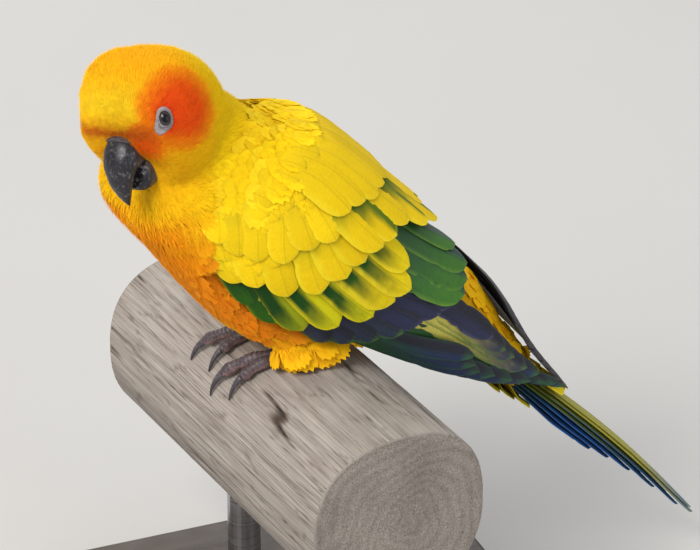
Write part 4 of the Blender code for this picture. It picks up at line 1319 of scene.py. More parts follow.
def coat_tree() -> NodeTree:
    """Geometry Nodes tree that grows a coat: it scatters tufts over the skin and lays each along the lie."""
    inputs = {"Skin": ("NodeSocketGeometry", None), "Spacing": ("NodeSocketFloat", 0.0006),
        "Cover": ("NodeSocketString", "cover"), "Reach": ("NodeSocketString", "reach"),
        "Tufts": ("NodeSocketCollection", None), "Tilt": ("NodeSocketFloat", 0.2),
        "Stray": ("NodeSocketFloat", 0.2), "Seed": ("NodeSocketInt", SEED),
        "Finish": ("NodeSocketMaterial", None)}
    tree, start, end = new_group("coat", "GeometryNodeTree", inputs, {"Coat": "NodeSocketGeometry"})
    sheet, given = NodeSheet(tree), start.outputs

    def named(name: object, kind: str = "FLOAT") -> NodeSocket:
        """Values of one of the skin's attributes."""
        node = sheet.add("GeometryNodeInputNamedAttribute", {"Name": name}, data_type=kind)
        return node.outputs["Attribute"]

    def kept(points: NodeSocket, name: str, value: NodeSocket) -> NodeSocket:
        """Points that carry one more vector."""
        return sheet.add("GeometryNodeStoreNamedAttribute", {"Geometry": points, "Name": name,
            "Value": value}, data_type="FLOAT_VECTOR", domain="POINT").outputs[0]

    crowd = sheet.sum("DIVIDE", 1.4, sheet.times(given["Spacing"], given["Spacing"]))
    scatter = sheet.add("GeometryNodeDistributePointsOnFaces",
        {"Mesh": given["Skin"], "Distance Min": given["Spacing"], "Density Max": crowd,
        "Density Factor": named(given["Cover"]), "Seed": given["Seed"]}, distribute_method="POISSON").outputs
    draw = sheet.add("FunctionNodeRandomValue", {"Min": (-1.0, -1.0, -1.0), "Max": (1.0, 1.0, 1.0),
        "Seed": given["Seed"]}, data_type="FLOAT_VECTOR").outputs[0]
    root = kept(scatter["Points"], "root", sheet.add("GeometryNodeInputPosition").outputs[0])
    points = kept(root, "chance", draw)
    stand = sheet.add("FunctionNodeAxesToRotation", {"Primary Axis": scatter["Normal"],
        "Secondary Axis": named("lie", "FLOAT_VECTOR")}, primary_axis="Z", secondary_axis="X")
    parts = sheet.add("ShaderNodeSeparateXYZ", {0: draw}).outputs
    yaw, roll, loose = (sheet.times(part, sheet.times(given["Stray"], share)) for part,
        share in zip(parts, (1.6, 0.4, 0.25)))
    tilt = sheet.sum("SUBTRACT", loose, given["Tilt"])
    euler = sheet.add("ShaderNodeCombineXYZ", {0: roll, 1: tilt, 2: yaw}).outputs[0]
    turn = sheet.add("FunctionNodeEulerToRotation", {0: euler})
    facing = sheet.add("FunctionNodeRotateRotation", {0: stand.outputs[0], 1: turn.outputs[0]},
        rotation_space="LOCAL")
    size = sheet.times(named(given["Reach"]), sheet.sum("ADD", 1.0, sheet.times(parts[0], 0.16)))
    tufts = sheet.add("GeometryNodeCollectionInfo", {"Collection": given["Tufts"], "Separate Children": True,
        "Reset Children": True})
    plant = sheet.add("GeometryNodeInstanceOnPoints", {"Points": points, "Instance": tufts.outputs[0],
        "Pick Instance": True, "Rotation": facing.outputs[0], "Scale": size})
    real = sheet.add("GeometryNodeRealizeInstances", {0: plant.outputs[0]})
    dressed = sheet.add("GeometryNodeSetMaterial", {"Geometry": real.outputs[0], "Material": given["Finish"]})
    sheet.join(dressed.outputs[0], end.inputs[0])
    return tree


@dataclass(frozen=True)
class CoatLayer:
    """One layer of the coat: what grows, how close together and how it lies."""

    name: str
    slot: str
    spacing: float
    tilt: float
    stray: float
    templates: tuple[Lock | ContourFeather, ...]
    cover: Callable[[Array], Array]
    reach: Callable[[Array], Array]
    fringe: float = 0.2
    seed: int = SEED
    crisp: bool = True
    tint: Callable[[Array], Array] = MARKINGS.tint
    # How much darker each tuft is painted towards its root, as painted shade under the tufts that overlap it.
    depth: float = 0.08

    def build(self, skin: Mesh, tree: NodeTree, finishes: Finishes) -> None:
        """Grow the layer on a surface as a plain mesh and paint it.

        Args:
            skin: Mesh of the surface.
            tree: The coat's Geometry Nodes tree.
            finishes: The model's materials.
        """
        draw = np.random.default_rng(self.seed)
        shelf = bpy.data.collections.new(f"{self.name}_tufts")
        for k, template in enumerate(self.templates):
            mesh = template.mesh(f"{self.name}_{k}", draw)
            shelf.objects.link(bpy.data.objects.new(mesh.name, mesh))
        ground = skin.copy()
        points = mesh_places(ground)
        write_points(ground, "cover", self.cover(points), "FLOAT")
        write_points(ground, "reach", self.reach(points) * MM, "FLOAT")
        write_points(ground, "lie", coat_lie(points), "FLOAT_VECTOR")
        item = new_object(self.name, ground)
        grow = item.modifiers.new("grow", "NODES")
        grow.node_group = tree
        names = {socket.name: socket.identifier for socket in tree.interface.items_tree
            if socket.item_type == "SOCKET" and socket.in_out == "INPUT"}
        values = {"Spacing": self.spacing * MM, "Cover": "cover", "Reach": "reach", "Tufts": shelf,
            "Tilt": self.tilt, "Stray": self.stray, "Seed": self.seed, "Finish": finishes.down}
        for word, value in values.items():
            grow[names[word]] = value
        plain_mesh(item)
        self.paint(item.data)
        for template in list(shelf.objects):
            bpy.data.objects.remove(template)
        bpy.data.collections.remove(shelf)
        Fitting(self.name, self.slot).fit(item)

    def paint(self, mesh: Mesh) -> None:
        """Colour each tuft by its root and give it a patch on the skin's own unwrap."""
        root = from_frame(read_points(mesh, "root", 3))
        spot = read_points(mesh, "spot", 3)
        chance = read_points(mesh, "chance", 3)
        colour = self.tint(root + chance * 0.5)
        # Random tone for each tuft, and painted shade towards its root.
        shade = 1.0 + 0.07 * chance[:, 1] - self.depth * ease(0.5, 0.0, spot[:, 0])
        colour = mix(colour * shade[:, None], YELLOW, self.fringe * ease(0.6, 1.0, spot[:, 0]))
        for name in ("cover", "reach", "lie", "tint"):
            if name in mesh.attributes:
                mesh.attributes.remove(mesh.attributes[name])
        write_points(mesh, "tint", colour, "FLOAT_COLOR")
        patch = np.clip(spot[:, :2] * vec(1.0, 0.5) + vec(0.0, 0.5), 0.0, 1.0)
        while mesh.uv_layers:
            mesh.uv_layers.remove(mesh.uv_layers[0])
        write_uv(mesh, "OFBake", np.clip(unwrap(root) + (patch - 0.5) * BAKE_PATCH, 0.0, 1.0))
        if not self.crisp:
            mesh.shade_smooth()
            mesh.set_sharp_from_angle(angle=radians(TUFT_CREASE))


def coat_lie(points: Array) -> Array:
    """Direction of the coat: away from the bill on the head, tailward on the trunk, down on thighs."""
    local = HEAD.local(points)
    base = np.array(BILL_BASE)
    fan = local - base * vec(1.0, 0.4, 1.0)
    over = unit(fan @ HEAD.axes)
    axis = vec(cos(BODY_PITCH), 0.0, -sin(BODY_PITCH))
    share = ease(20.0, 34.0, np.linalg.norm(local, axis=1))
    lie = mix(over, axis, share)
    low = ease(18.0, 9.0, points[:, 2]) * ease(20.0, 12.0, np.abs(points[:, 0] - 6.0))
    lie = mix(lie, (0.1, 0.0, -1.0), low * 0.7)
    stray = np.stack([NOISE.at(points + shift, 7.0) for shift in (0.0, 11.0, 23.0)], axis=1)
    return unit(lie + stray * 0.12)


def feather_edge(q: Array) -> Array:
    """Angle from the back down to which wings and mantle cover the body, by the place along it."""
    return np.interp(q, (-71.0, -69.0, -65.0, -60.0, -52.0, -44.0, 0.0, 30.0, 60.0, 66.0),
        (0.0, 70.0, 92.0, 104.0, 120.0, 124.0, 118.0, 98.0, 74.0, 60.0))


def plain_length(length: float) -> Callable[[Array], Array]:
    """The same length of tuft everywhere."""
    return lambda points: np.full(len(points), length)


def head_distance(points: Array) -> Array:
    """How far points lie from the head's middle."""
    return np.linalg.norm(HEAD.local(points), axis=1)


def face_cover(points: Array) -> Array:
    """Where the short coat of the head grows: clear of the eyes' bare rings and of the bill."""
    local = HEAD.local(points)
    cover = ease(27.0, 22.5, head_distance(points))
    for side in Side:
        cover = cover * ease(0.92, 1.0, RING.share(local, side))
    bill = np.hypot(local[:, 1] / 5.2, (local[:, 2] + 8.0) / 9.0)
    return cover * np.where(local[:, 0] > 6.0, ease(0.9, 1.0, bill), 1.0)


def body_cover(points: Array) -> Array:
    """Where body feathers grow: on neck, breast, belly and rump, clear of what the wings cover."""
    q, angle = PLUMAGE.places(points)
    edge = feather_edge(q) - 13.0 * ease(-50.0, -60.0, q)
    return ease(21.0, 25.0, head_distance(points)) * ease(-5.0, 1.0, np.abs(angle) - edge)


def contour_cover(points: Array) -> Array:
    """Where the body's own feathers show: on breast and belly, away from the neck."""
    return body_cover(points) * ease(33.0, 39.0, head_distance(points))


def nape_cover(points: Array) -> Array:
    """Where finer tufts soften the change from head to neck."""
    q, angle = PLUMAGE.places(points)
    distance = head_distance(points)
    near = ease(21.0, 24.0, distance) * ease(40.0, 32.0, distance)
    return near * ease(-5.0, 1.0, np.abs(angle) - feather_edge(q) + 13.0)


def fluff_cover(points: Array) -> Array:
    """Where loose fluff hangs: thighs and the belly between them."""
    return ease(17.0, 10.0, points[:, 2]) * ease(26.0, 20.0, np.abs(points[:, 0] - 4.0))


def face_reach(points: Array) -> Array:
    """Length of the head's tufts, longer away from the bill."""
    local = HEAD.local(points)
    distance = np.linalg.norm(local - np.array(BILL_BASE), axis=1)
    reach = 2.0 + 2.2 * ease(6.0, 34.0, distance)
    for side in Side:
        reach = np.minimum(reach, 0.8 + 3.0 * np.maximum(RING.share(local, side) - 1.0, 0.0))
    return reach


def body_reach(points: Array) -> Array:
    """Length of the body's feathers, longer towards the belly."""
    q, _ = PLUMAGE.places(points)
    return 5.0 + 2.0 * ease(-75.0, -20.0, q)


def wing_cover(points: Array) -> Array:
    """Where soft feathers lie over the mantle and the wings' small coverts."""
    q, angle = WING.places(points)
    fold = np.abs(angle)
    end = np.interp(fold, (0.0, 25.0, 60.0, 90.0, 112.0, 126.0), (-36.0, -42.0, -44.0, -44.0, -45.0, -48.0))
    edge = np.where(q < -60.0, np.maximum(feather_edge(q), 92.0), feather_edge(q)) + 3.0
    return ease(end + 2.0, end - 5.0, q) * ease(-74.0, -69.0, q) * ease(edge + 3.0, edge - 3.0, fold)


def wing_tint(points: Array) -> Array:
    """Colours of the soft feathers over mantle and wings: yellow, greener at the wings' lower edges."""
    q, angle = WING.places(points)
    warp = NOISE.at(points, 6.0) * 6.0 + NOISE.at(points + 5.0, 2.5) * 4.0
    colour = mix(YELLOW, (0.95, 0.70, 0.02), ease(-0.2, 0.6, NOISE.at(points + 13.0, 3.0)) * 0.6)
    colour = mix(colour, (0.93, 0.54, 0.004), ease(-60.0, -74.0, q + warp) * 0.5)
    return mix(colour, (0.42, 0.42, 0.008), ease(114.0, 128.0, np.abs(angle) + warp) * 0.6)


def wing_ground() -> Mesh:
    """Surface of mantle and wings on which the soft feathers grow; it isn't part of the model."""
    q, angle = np.meshgrid(np.linspace(-75.0, -33.0, 43), np.linspace(-132.0, 132.0, 133), indexing="ij")
    points = np.where((angle < 0)[..., None], WING.point(q, -angle, -1.7 + 0.0 * q) * (1.0, -1.0, 1.0),
        WING.point(q, angle, -1.7 + 0.0 * q))
    return new_mesh("wing_ground", points.reshape(-1, 3), flip(grid_faces(*q.shape)))


def rump_cover(points: Array) -> Array:
    """Where rump feathers grow: on the back between the folded wings, and round to the tail."""
    q, angle = PLUMAGE.places(points)
    edge = np.interp(q, (-8.0, 5.0, 20.0, 40.0, 58.0), (0.0, 16.0, 22.0, 20.0, 12.0))
    edge = edge * np.where(angle < 0.0, ease(30.0, 14.0, q), 1.0)
    return ease(2.0, -5.0, np.abs(angle) - edge) * ease(-6.0, 0.0, q) * ease(50.0, 44.0, q)


@dataclass(frozen=True)
class Tone:
    """Colours of one feather: its base, tip and edges, and the web towards the back where that differs."""

    base: Colour
    tip: Colour
    edge: Colour
    inner: Colour | None = None
    tip_from: float = 0.45
    edge_from: float = 0.70
    edge_amount: float = 0.8

    def paint(self, u: Array, v: Array, warp: Array) -> Array:
        """Colours on the feather.

        Args:
            u: Places from root to tip.
            v: Places across, with -1 towards the back and 1 away from it.
            warp: Small irregular shifts.

        Returns:
            One colour for each place.
        """
        colour = mix(self.base, self.tip, ease(self.tip_from, min(self.tip_from + 0.45, 1.0), u + warp * 0.5))
        if self.inner is not None:
            colour = mix(colour, self.inner, ease(0.08, -0.12, v + warp * 0.3))
        rim = np.maximum(np.abs(v), ease(0.86, 1.0, u))
        share = ease(self.edge_from, self.edge_from + 0.22, rim + warp) * ease(0.1, 0.4, u) * self.edge_amount
        if self.inner is not None:
            share = share * np.where(v < 0, 0.25, 1.0)
        return mix(colour, self.edge, share)


@dataclass(frozen=True)
class Dress:
    """How one feather is painted: its colours, its number in the piece of so many, and the random source."""

    tone: Tone
    number: int
    count: int
    draw: Draw


@dataclass(frozen=True)
class Vane:
    """One feather's size and bends, the same for a whole row.

    Its edge away from the back stands higher by rise, and its middle bends sideways by bow. With easing
    above 1 its lift changes mostly towards the tip.
    """

    width: float
    lifts: Place
    rise: float = 1.0
    bow: float = 0.0
    easing: float = 1.0
    camber: float = 0.5
    thick: float = 0.26
    rows: int = 20
    columns: int = 9
    slim_root: float = 0.5
    taper: float = 1.0
    notches: int = 1

    def grid(self, length: float, draw: Draw) -> tuple[Array, Array, Array]:
        """Places along and across the vane, and its half width's share, with a rounded, slightly frayed tip.

        Args:
            length: The feather's length.
            draw: Source of the variation.

        Returns:
            Along, across and share, each with a row for each step along.
        """
        steps = np.linspace(0.0, 1.0, self.rows)
        along = 1.0 - (1.0 - steps) ** 1.8
        across = np.linspace(-1.0, 1.0, self.columns)
        share = self.slim_root + (1.0 - self.slim_root) * ease(0.0, 0.42, along)
        round_off = min(self.taper * self.width / 2 / length, 0.75)
        tip = np.clip((along - 1.0 + round_off) / round_off, 0.0, 1.0)
        share = share * np.maximum(np.sqrt(1.0 - tip ** 2.3), 0.06)
        u, v = np.meshgrid(along, across, indexing="ij")
        share = np.repeat(share[:, None], self.columns, axis=1)
        share = share * (1.0 + draw.uniform(-0.015, 0.015, share.shape) * (np.abs(v) > 0.9))
        for _ in range(self.notches):
            row = draw.integers(self.rows // 3, self.rows - 2)
            edge = 0 if draw.random() < 0.4 else self.columns - 1
            share[row, edge] *= 0.90
        return u - 0.012 * u * v * v + draw.uniform(-0.001, 0.001, u.shape) * (u > 0.9), v, share

    def lay(self, form: Form, root: Place, tip: Place, dress: Dress) -> Shape:
        """One closed, painted feather on a form.

        Args:
            form: Form that it lies on.
            root: Place along q and angle of its root.
            tip: The same of its tip.
            dress: How it is painted.

        Returns:
            The feather.
        """
        length = float(np.linalg.norm(form.raw(*tip) - form.raw(*root)))
        u, v, share = self.grid(length, dress.draw)
        q = root[0] + (tip[0] - root[0]) * u
        angle = root[1] + (tip[1] - root[1]) * u
        _, along, around, normal = form.frame(q, angle)
        run = along * (tip[0] - root[0]) + around * (tip[1] - root[1])
        aside = unit(np.cross(run, normal))
        aside = aside * np.sign(np.sum(aside * around, axis=-1, keepdims=True))
        aa, ab, bb = (np.sum(x * y, axis=-1) for x, y in ((along, along), (along, around), (around, around)))
        sa, sb = np.sum(along * aside, axis=-1), np.sum(around * aside, axis=-1)
        wide = aa * bb - ab * ab
        step_q, step_angle = (sa * bb - sb * ab) / wide, (sb * aa - sa * ab) / wide
        shift = v * self.width / 2 * share + self.bow * np.sin(pi * u ** 1.6)
        height = self.lifts[0] + (self.lifts[1] - self.lifts[0]) * u ** self.easing
        height = height + self.rise * v / 2 * share + self.camber * (1.0 - v * v) * share
        height = height + 0.12 * (np.abs(v) < 0.1) + dress.draw.uniform(-0.05, 0.05, u.shape) * (u > 0.3)
        q, angle = q + step_q * shift, angle + step_angle * shift
        upper = form.point(q, angle, height)
        thick = self.thick * (1.0 - 0.55 * v * v) * (1.0 - 0.4 * u)
        lower = form.point(q, angle, height - thick)
        return self.close(upper, lower, (u, v, share), length, dress)

    def close(self, upper: Array, lower: Array, grid: tuple[Array, Array, Array], length: float,
            dress: Dress) -> Shape:
        """Close a feather's two faces, paint it and lay out its maps.

        Args:
            upper: Points of the upper face.
            lower: Points of the lower face.
            grid: Places along and across, and shares of the half width.
            length: The feather's length.
            dress: How it is painted.

        Returns:
            The closed feather.
        """
        u, v, share = grid
        rows, columns = u.shape
        count, number = rows * columns, dress.number
        warp = NOISE.at(stack(u * length, v * self.width, np.full(u.shape, 3.7 * number)), 2.0)
        colour = dress.tone.paint(u, v, warp * 0.09) * dress.draw.uniform(0.9, 1.08)
        # The lower face is painted darker than the upper one, as painted shade.
        below = mix(colour, np.array(SOOT) + 0.35 * colour, np.full(u.shape, 0.5))
        faces = grid_faces(rows, columns)
        faces += [[k + count for k in face[::-1]] for face in faces]
        rim = list(range(columns)) + [i * columns + columns - 1 for i in range(1, rows)]
        rim += [(rows - 1) * columns + j for j in range(columns - 2, -1, -1)]
        rim += [i * columns for i in range(rows - 2, 0, -1)]
        for a, b in zip(rim, rim[1:] + rim[:1]):
            faces.append([b, a, a + count, b + count])
        flat = stack(v * share * self.width / 2, u * length).reshape(-1, 2)
        vane = np.concatenate((flat, flat)) + vec(0.0, 41.0 * number)
        side = int(ceil(sqrt(dress.count)))
        corner = vec(number % side, number // side)
        inset = stack((v * 0.45 + 0.5) * 0.46, u * 0.9 + 0.05).reshape(-1, 2)
        bake = np.concatenate((inset + vec(0.02, 0.0), inset + vec(0.52, 0.0)))
        points = np.concatenate((upper.reshape(-1, 3), lower.reshape(-1, 3)))
        tints = np.concatenate((colour.reshape(-1, 3), below.reshape(-1, 3)))
        return Shape(points, faces, tints, vane, (bake + corner) / side)


@dataclass(frozen=True)
class VaneRow:
    """A row of feathers whose roots and tips follow two routes of places on a form."""

    vane: Vane
    count: int
    roots: tuple[Place, ...]
    tips: tuple[Place, ...]
    tones: tuple[Tone, ...]
    stray: float = 0.8

    @staticmethod
    def along(route: tuple[Place, ...], share: float) -> Place:
        """Place on a route of places."""
        stops = np.linspace(0.0, 1.0, len(route))
        return tuple(float(np.interp(share, stops, [place[k] for place in route])) for k in (0, 1))

    def feathers(self, draw: Draw) -> list[tuple[Vane, Place, Place, Tone]]:
        """Size, root, tip and colours of each feather in the row."""
        made = []
        for i in range(self.count):
            share = i / max(self.count - 1, 1)
            tip = self.along(self.tips, share)
            tip = (tip[0] + draw.uniform(-self.stray, self.stray), tip[1]
                + draw.uniform(-self.stray, self.stray))
            tone = self.tones[min(int(share * len(self.tones)), len(self.tones) - 1)]
            made.append((self.vane, self.along(self.roots, share), tip, tone))
        return made


def lay_rows(form: Form, rows: Iterable[VaneRow], seed: int) -> Shape:
    """One shape of all the feathers in several rows.

    Args:
        form: Form that they lie on.
        rows: Rows of feathers.
        seed: Seed of the variation.

    Returns:
        The joined feathers.
    """
    draw = np.random.default_rng(seed)
    planned = [feather for row in rows for feather in row.feathers(draw)]
    shapes = [vane.lay(form, root, tip, Dress(tone, k, len(planned), draw)) for k,
        (vane, root, tip, tone) in enumerate(planned)]
    return Shape.joined(shapes)


def scale_rows(span: Place, angles: Callable[[float], Place], lines: int, count: int, length: float,
        vane: Vane, tones: tuple[Tone, ...]) -> list[VaneRow]:
    """Rows of small feathers that overlap like scales, each row half a step aside from the last.

    Args:
        span: Places along q of the first and last row's roots.
        angles: First and last angle of a row by its place along q.
        lines: How many rows.
        count: Feathers in a row.
        length: Length of a feather along q.
        vane: Size of a feather.
        tones: Colours along each row.

    Returns:
        The rows.
    """
    made = []
    for k, q in enumerate(np.linspace(*span, lines)):
        first, last = angles(q)
        step = (last - first) / count * 0.5 * (k % 2)
        made.append(VaneRow(vane, count, ((q, first + step), (q, last + step)),
            ((q + length, first + step), (q + length, last + step)), tones, 1.1))
    return made


SMALL_TONE = Tone((0.74, 0.54, 0.006), YELLOW, (0.95, 0.72, 0.02), tip_from=0.2)
MEDIAN_TONE = Tone((0.42, 0.38, 0.006), YELLOW, (0.95, 0.74, 0.02), tip_from=0.3)
SHADOW_TONE = Tone((0.012, 0.055, 0.008), (0.03, 0.12, 0.008), (0.22, 0.32, 0.008), tip_from=0.5,
    edge_from=0.80)
GREATER_TONE = Tone((0.012, 0.06, 0.008), (0.26, 0.32, 0.008), (0.56, 0.54, 0.01), inner=(0.34, 0.38, 0.008),
    tip_from=0.70, edge_from=0.80)
LEMON_TONE = Tone((0.012, 0.065, 0.008), (0.62, 0.58, 0.006), (0.80, 0.68, 0.01), inner=(0.66, 0.60, 0.006),
    tip_from=0.68)
GOLDEN_TONE = Tone((0.02, 0.085, 0.01), (0.90, 0.67, 0.006), (0.95, 0.74, 0.02), inner=(0.90, 0.68, 0.006),
    tip_from=0.60)
TERTIAL_TONE = Tone((0.02, 0.10, 0.02), (0.05, 0.19, 0.012), (0.16, 0.32, 0.02), inner=(0.012, 0.065, 0.045),
    tip_from=0.5, edge_from=0.84)
SLATE_TONE = Tone((0.012, 0.014, 0.04), (0.018, 0.022, 0.07), (0.08, 0.09, 0.18), inner=NIGHT, edge_from=0.84)
SECONDARY_TONE = Tone((0.018, 0.024, 0.06), (0.018, 0.03, 0.06), (0.06, 0.18, 0.02), inner=NIGHT,
    edge_from=0.74)
PRIMARY_TONE = Tone((0.02, 0.10, 0.02), (0.014, 0.028, 0.10), (0.03, 0.15, 0.04), inner=NIGHT, tip_from=0.50,
    edge_from=0.74)
WINDOW_TONE = Tone((0.70, 0.62, 0.10), (0.014, 0.022, 0.07), (0.10, 0.22, 0.03), inner=NIGHT, tip_from=0.55,
    edge_from=0.80)
DUSKY_TONE = Tone((0.03, 0.026, 0.022), (0.014, 0.012, 0.016), (0.03, 0.026, 0.03), tip_from=0.2)
MANTLE_TONE = Tone((0.86, 0.58, 0.004), YELLOW, (0.95, 0.72, 0.02), tip_from=0.2)
SCAPULAR_TONE = Tone((0.16, 0.22, 0.008), YELLOW, (0.95, 0.74, 0.02), tip_from=0.20)
SCAPULAR_SHADE_TONE = Tone((0.05, 0.12, 0.008), YELLOW, (0.95, 0.74, 0.02), inner=(0.12, 0.19, 0.008),
    tip_from=0.38, edge_from=0.62)


class WingLayer(Enum):
    """Layers of a folded wing, outermost first."""

    COVERTS = "coverts"
    SECONDARIES = "secondaries"
    PRIMARIES = "primaries"


@dataclass(frozen=True)
class FoldedWing:
    """One folded wing: small, median and greater coverts, secondaries and primaries."""

    side: Side
    primary_tips: tuple[Place, ...]
    primary_vane: Vane
    primary_tones: tuple[Tone, ...]
    windows: tuple[VaneRow, ...] = ()

    def rows(self) -> dict[WingLayer, list[VaneRow]]:
        """Rows of each layer."""
        small = Vane(9.6, (-3.4, -1.4), rise=0.4, rows=12, columns=7, notches=0, taper=1.1)
        lesser = Vane(10.0, (-2.8, -0.9), rise=0.7, rows=18, taper=1.3, notches=0)
        median = Vane(10.6, (-3.0, -1.5), rise=0.9, rows=24, columns=13, taper=1.4, notches=0)
        greater = Vane(10.8, (-3.8, -2.5), rise=1.4, rows=28, columns=13, taper=1.5, notches=0)
        coverts = scale_rows((-66.0, -52.0), lambda q: (50.0, 88.0 + (q + 66.0) * 2.2), 4, 7, 13.0, small,
            (SMALL_TONE,))
        coverts += [VaneRow(greater, 8, ((-54.0, 120.0), (-50.0, 96.0), (-46.0, 60.0)),
            ((-28.0, 130.0), (-19.0, 130.0), (-13.5, 122.0), (-9.0, 105.0), (-4.5, 92.0), (-2.5, 82.0),
            (-1.5, 71.0), (-7.0, 59.0)), (SHADOW_TONE, SHADOW_TONE, GREATER_TONE, LEMON_TONE, LEMON_TONE,
            GOLDEN_TONE, GOLDEN_TONE, GOLDEN_TONE), 0.9), VaneRow(median, 7,
            ((-60.0, 108.0), (-50.0, 80.0), (-48.0, 58.0)), ((-49.0, 121.0), (-34.0, 118.0), (-25.0, 104.0),
            (-22.0, 91.0), (-19.0, 77.0), (-22.0, 62.0)), (SMALL_TONE, MEDIAN_TONE), 1.2),
            VaneRow(lesser, 7, ((-65.0, 92.0), (-58.0, 76.0), (-56.0, 58.0)),
            ((-54.0, 114.0), (-45.0, 112.0), (-37.0, 98.0), (-34.0, 82.0), (-33.0, 66.0)), (SMALL_TONE,),
            1.4),]
        secondaries = [VaneRow(Vane(9.8, (-6.6, -3.1), rise=1.2, easing=2.2, rows=24, taper=1.4), 8,
            ((-40.0, 114.0), (-40.0, 62.0)), ((-3.0, 118.0), (3.0, 108.0), (8.5, 95.0), (11.5, 84.0),
            (14.0, 70.0), (15.5, 60.0)), (SECONDARY_TONE, SECONDARY_TONE, SLATE_TONE, SLATE_TONE)),
            VaneRow(Vane(12.8, (-5.0, -1.9), rise=1.3, easing=1.6, rows=24, taper=1.35), 4,
            ((-38.0, 68.0), (-38.0, 26.0)), ((14.5, 57.0), (13.5, 45.0), (12.0, 33.0), (6.0, 20.0)),
            (TERTIAL_TONE,)),]
        primaries = [VaneRow(self.primary_vane, 9, ((-41.0, 119.0), (-41.0, 102.0)), self.primary_tips,
            self.primary_tones), *self.windows]
        return {WingLayer.COVERTS: coverts, WingLayer.SECONDARIES: secondaries,
            WingLayer.PRIMARIES: primaries}

    def build(self, finishes: Finishes) -> None:
        """Make the wing's three pieces.

        Args:
            finishes: The model's materials.
        """
        for layer, rows in self.rows().items():
            shape = lay_rows(WING, rows, SEED + len(layer.value))
            if self.side is Side.RIGHT:
                shape = shape.mirrored()
            node = f"wing_{self.side.word}_{layer.value}"
            finish = finishes.coverts if layer is WingLayer.COVERTS else finishes.flight
            slots = {WingLayer.COVERTS: "plumage_yellow", WingLayer.SECONDARIES: "flight_green",
                WingLayer.PRIMARIES: "flight_blue"}
            stand_in(node, "vanes", slots[layer], shape, finish, VANE_CREASE)


@dataclass(frozen=True)
class Mantle:
    """Soft upper back and the long scapulars that lie over the wings' upper edges."""

    scapular: Vane = Vane(11.6, (-1.9, 0.0), rise=0.6, rows=24, columns=11, taper=1.7, notches=0)

    def build(self, finishes: Finishes) -> None:
        """Make the mantle's piece.

        Args:
            finishes: The model's materials.
        """
        small = Vane(10.0, (-3.2, -1.2), rise=0.0, rows=12, columns=7, notches=0, taper=1.1)
        rows = scale_rows((-66.0, -46.0), lambda q: (-56.0, 54.0), 5, 9, 14.0, small, (MANTLE_TONE,))
        left = [VaneRow(self.scapular, 6, ((-48.0, 60.0), (-44.0, 6.0)),
            ((-19.0, 63.0), (-17.0, 51.0), (-14.0, 35.0), (-8.0, 22.0), (-1.0, 12.0), (-7.0, 3.0)),
            (SCAPULAR_TONE, SCAPULAR_SHADE_TONE, SCAPULAR_TONE, SCAPULAR_SHADE_TONE, SCAPULAR_SHADE_TONE,
            SCAPULAR_TONE), 1.0), VaneRow(self.scapular, 6, ((-58.0, 56.0), (-56.0, 5.0)),
            ((-35.0, 59.0), (-31.0, 45.0), (-28.0, 30.0), (-24.0, 16.0), (-25.0, 3.0)), (MANTLE_TONE,), 1.4),]
        wings = lay_rows(WING, left, SEED + 2)
        middle = lay_rows(WING, rows, SEED + 1)
        shape = Shape.joined([wings, wings.mirrored(), middle])
        stand_in("mantle", "vanes", "plumage_yellow", shape, finishes.coverts, VANE_CREASE)


CENTRAL_TONE = Tone((0.36, 0.33, 0.012), (0.014, 0.10, 0.20), (0.44, 0.38, 0.012), tip_from=0.58,
    edge_amount=0.3)
SIDE_TONE = Tone((0.16, 0.20, 0.012), (0.012, 0.08, 0.20), (0.014, 0.12, 0.34), inner=SOOT, tip_from=0.45,
    edge_from=0.72)
OUTER_TONE = Tone((0.02, 0.07, 0.10), (0.012, 0.06, 0.22), (0.016, 0.13, 0.42), inner=NIGHT, tip_from=0.1,
    edge_from=0.66)


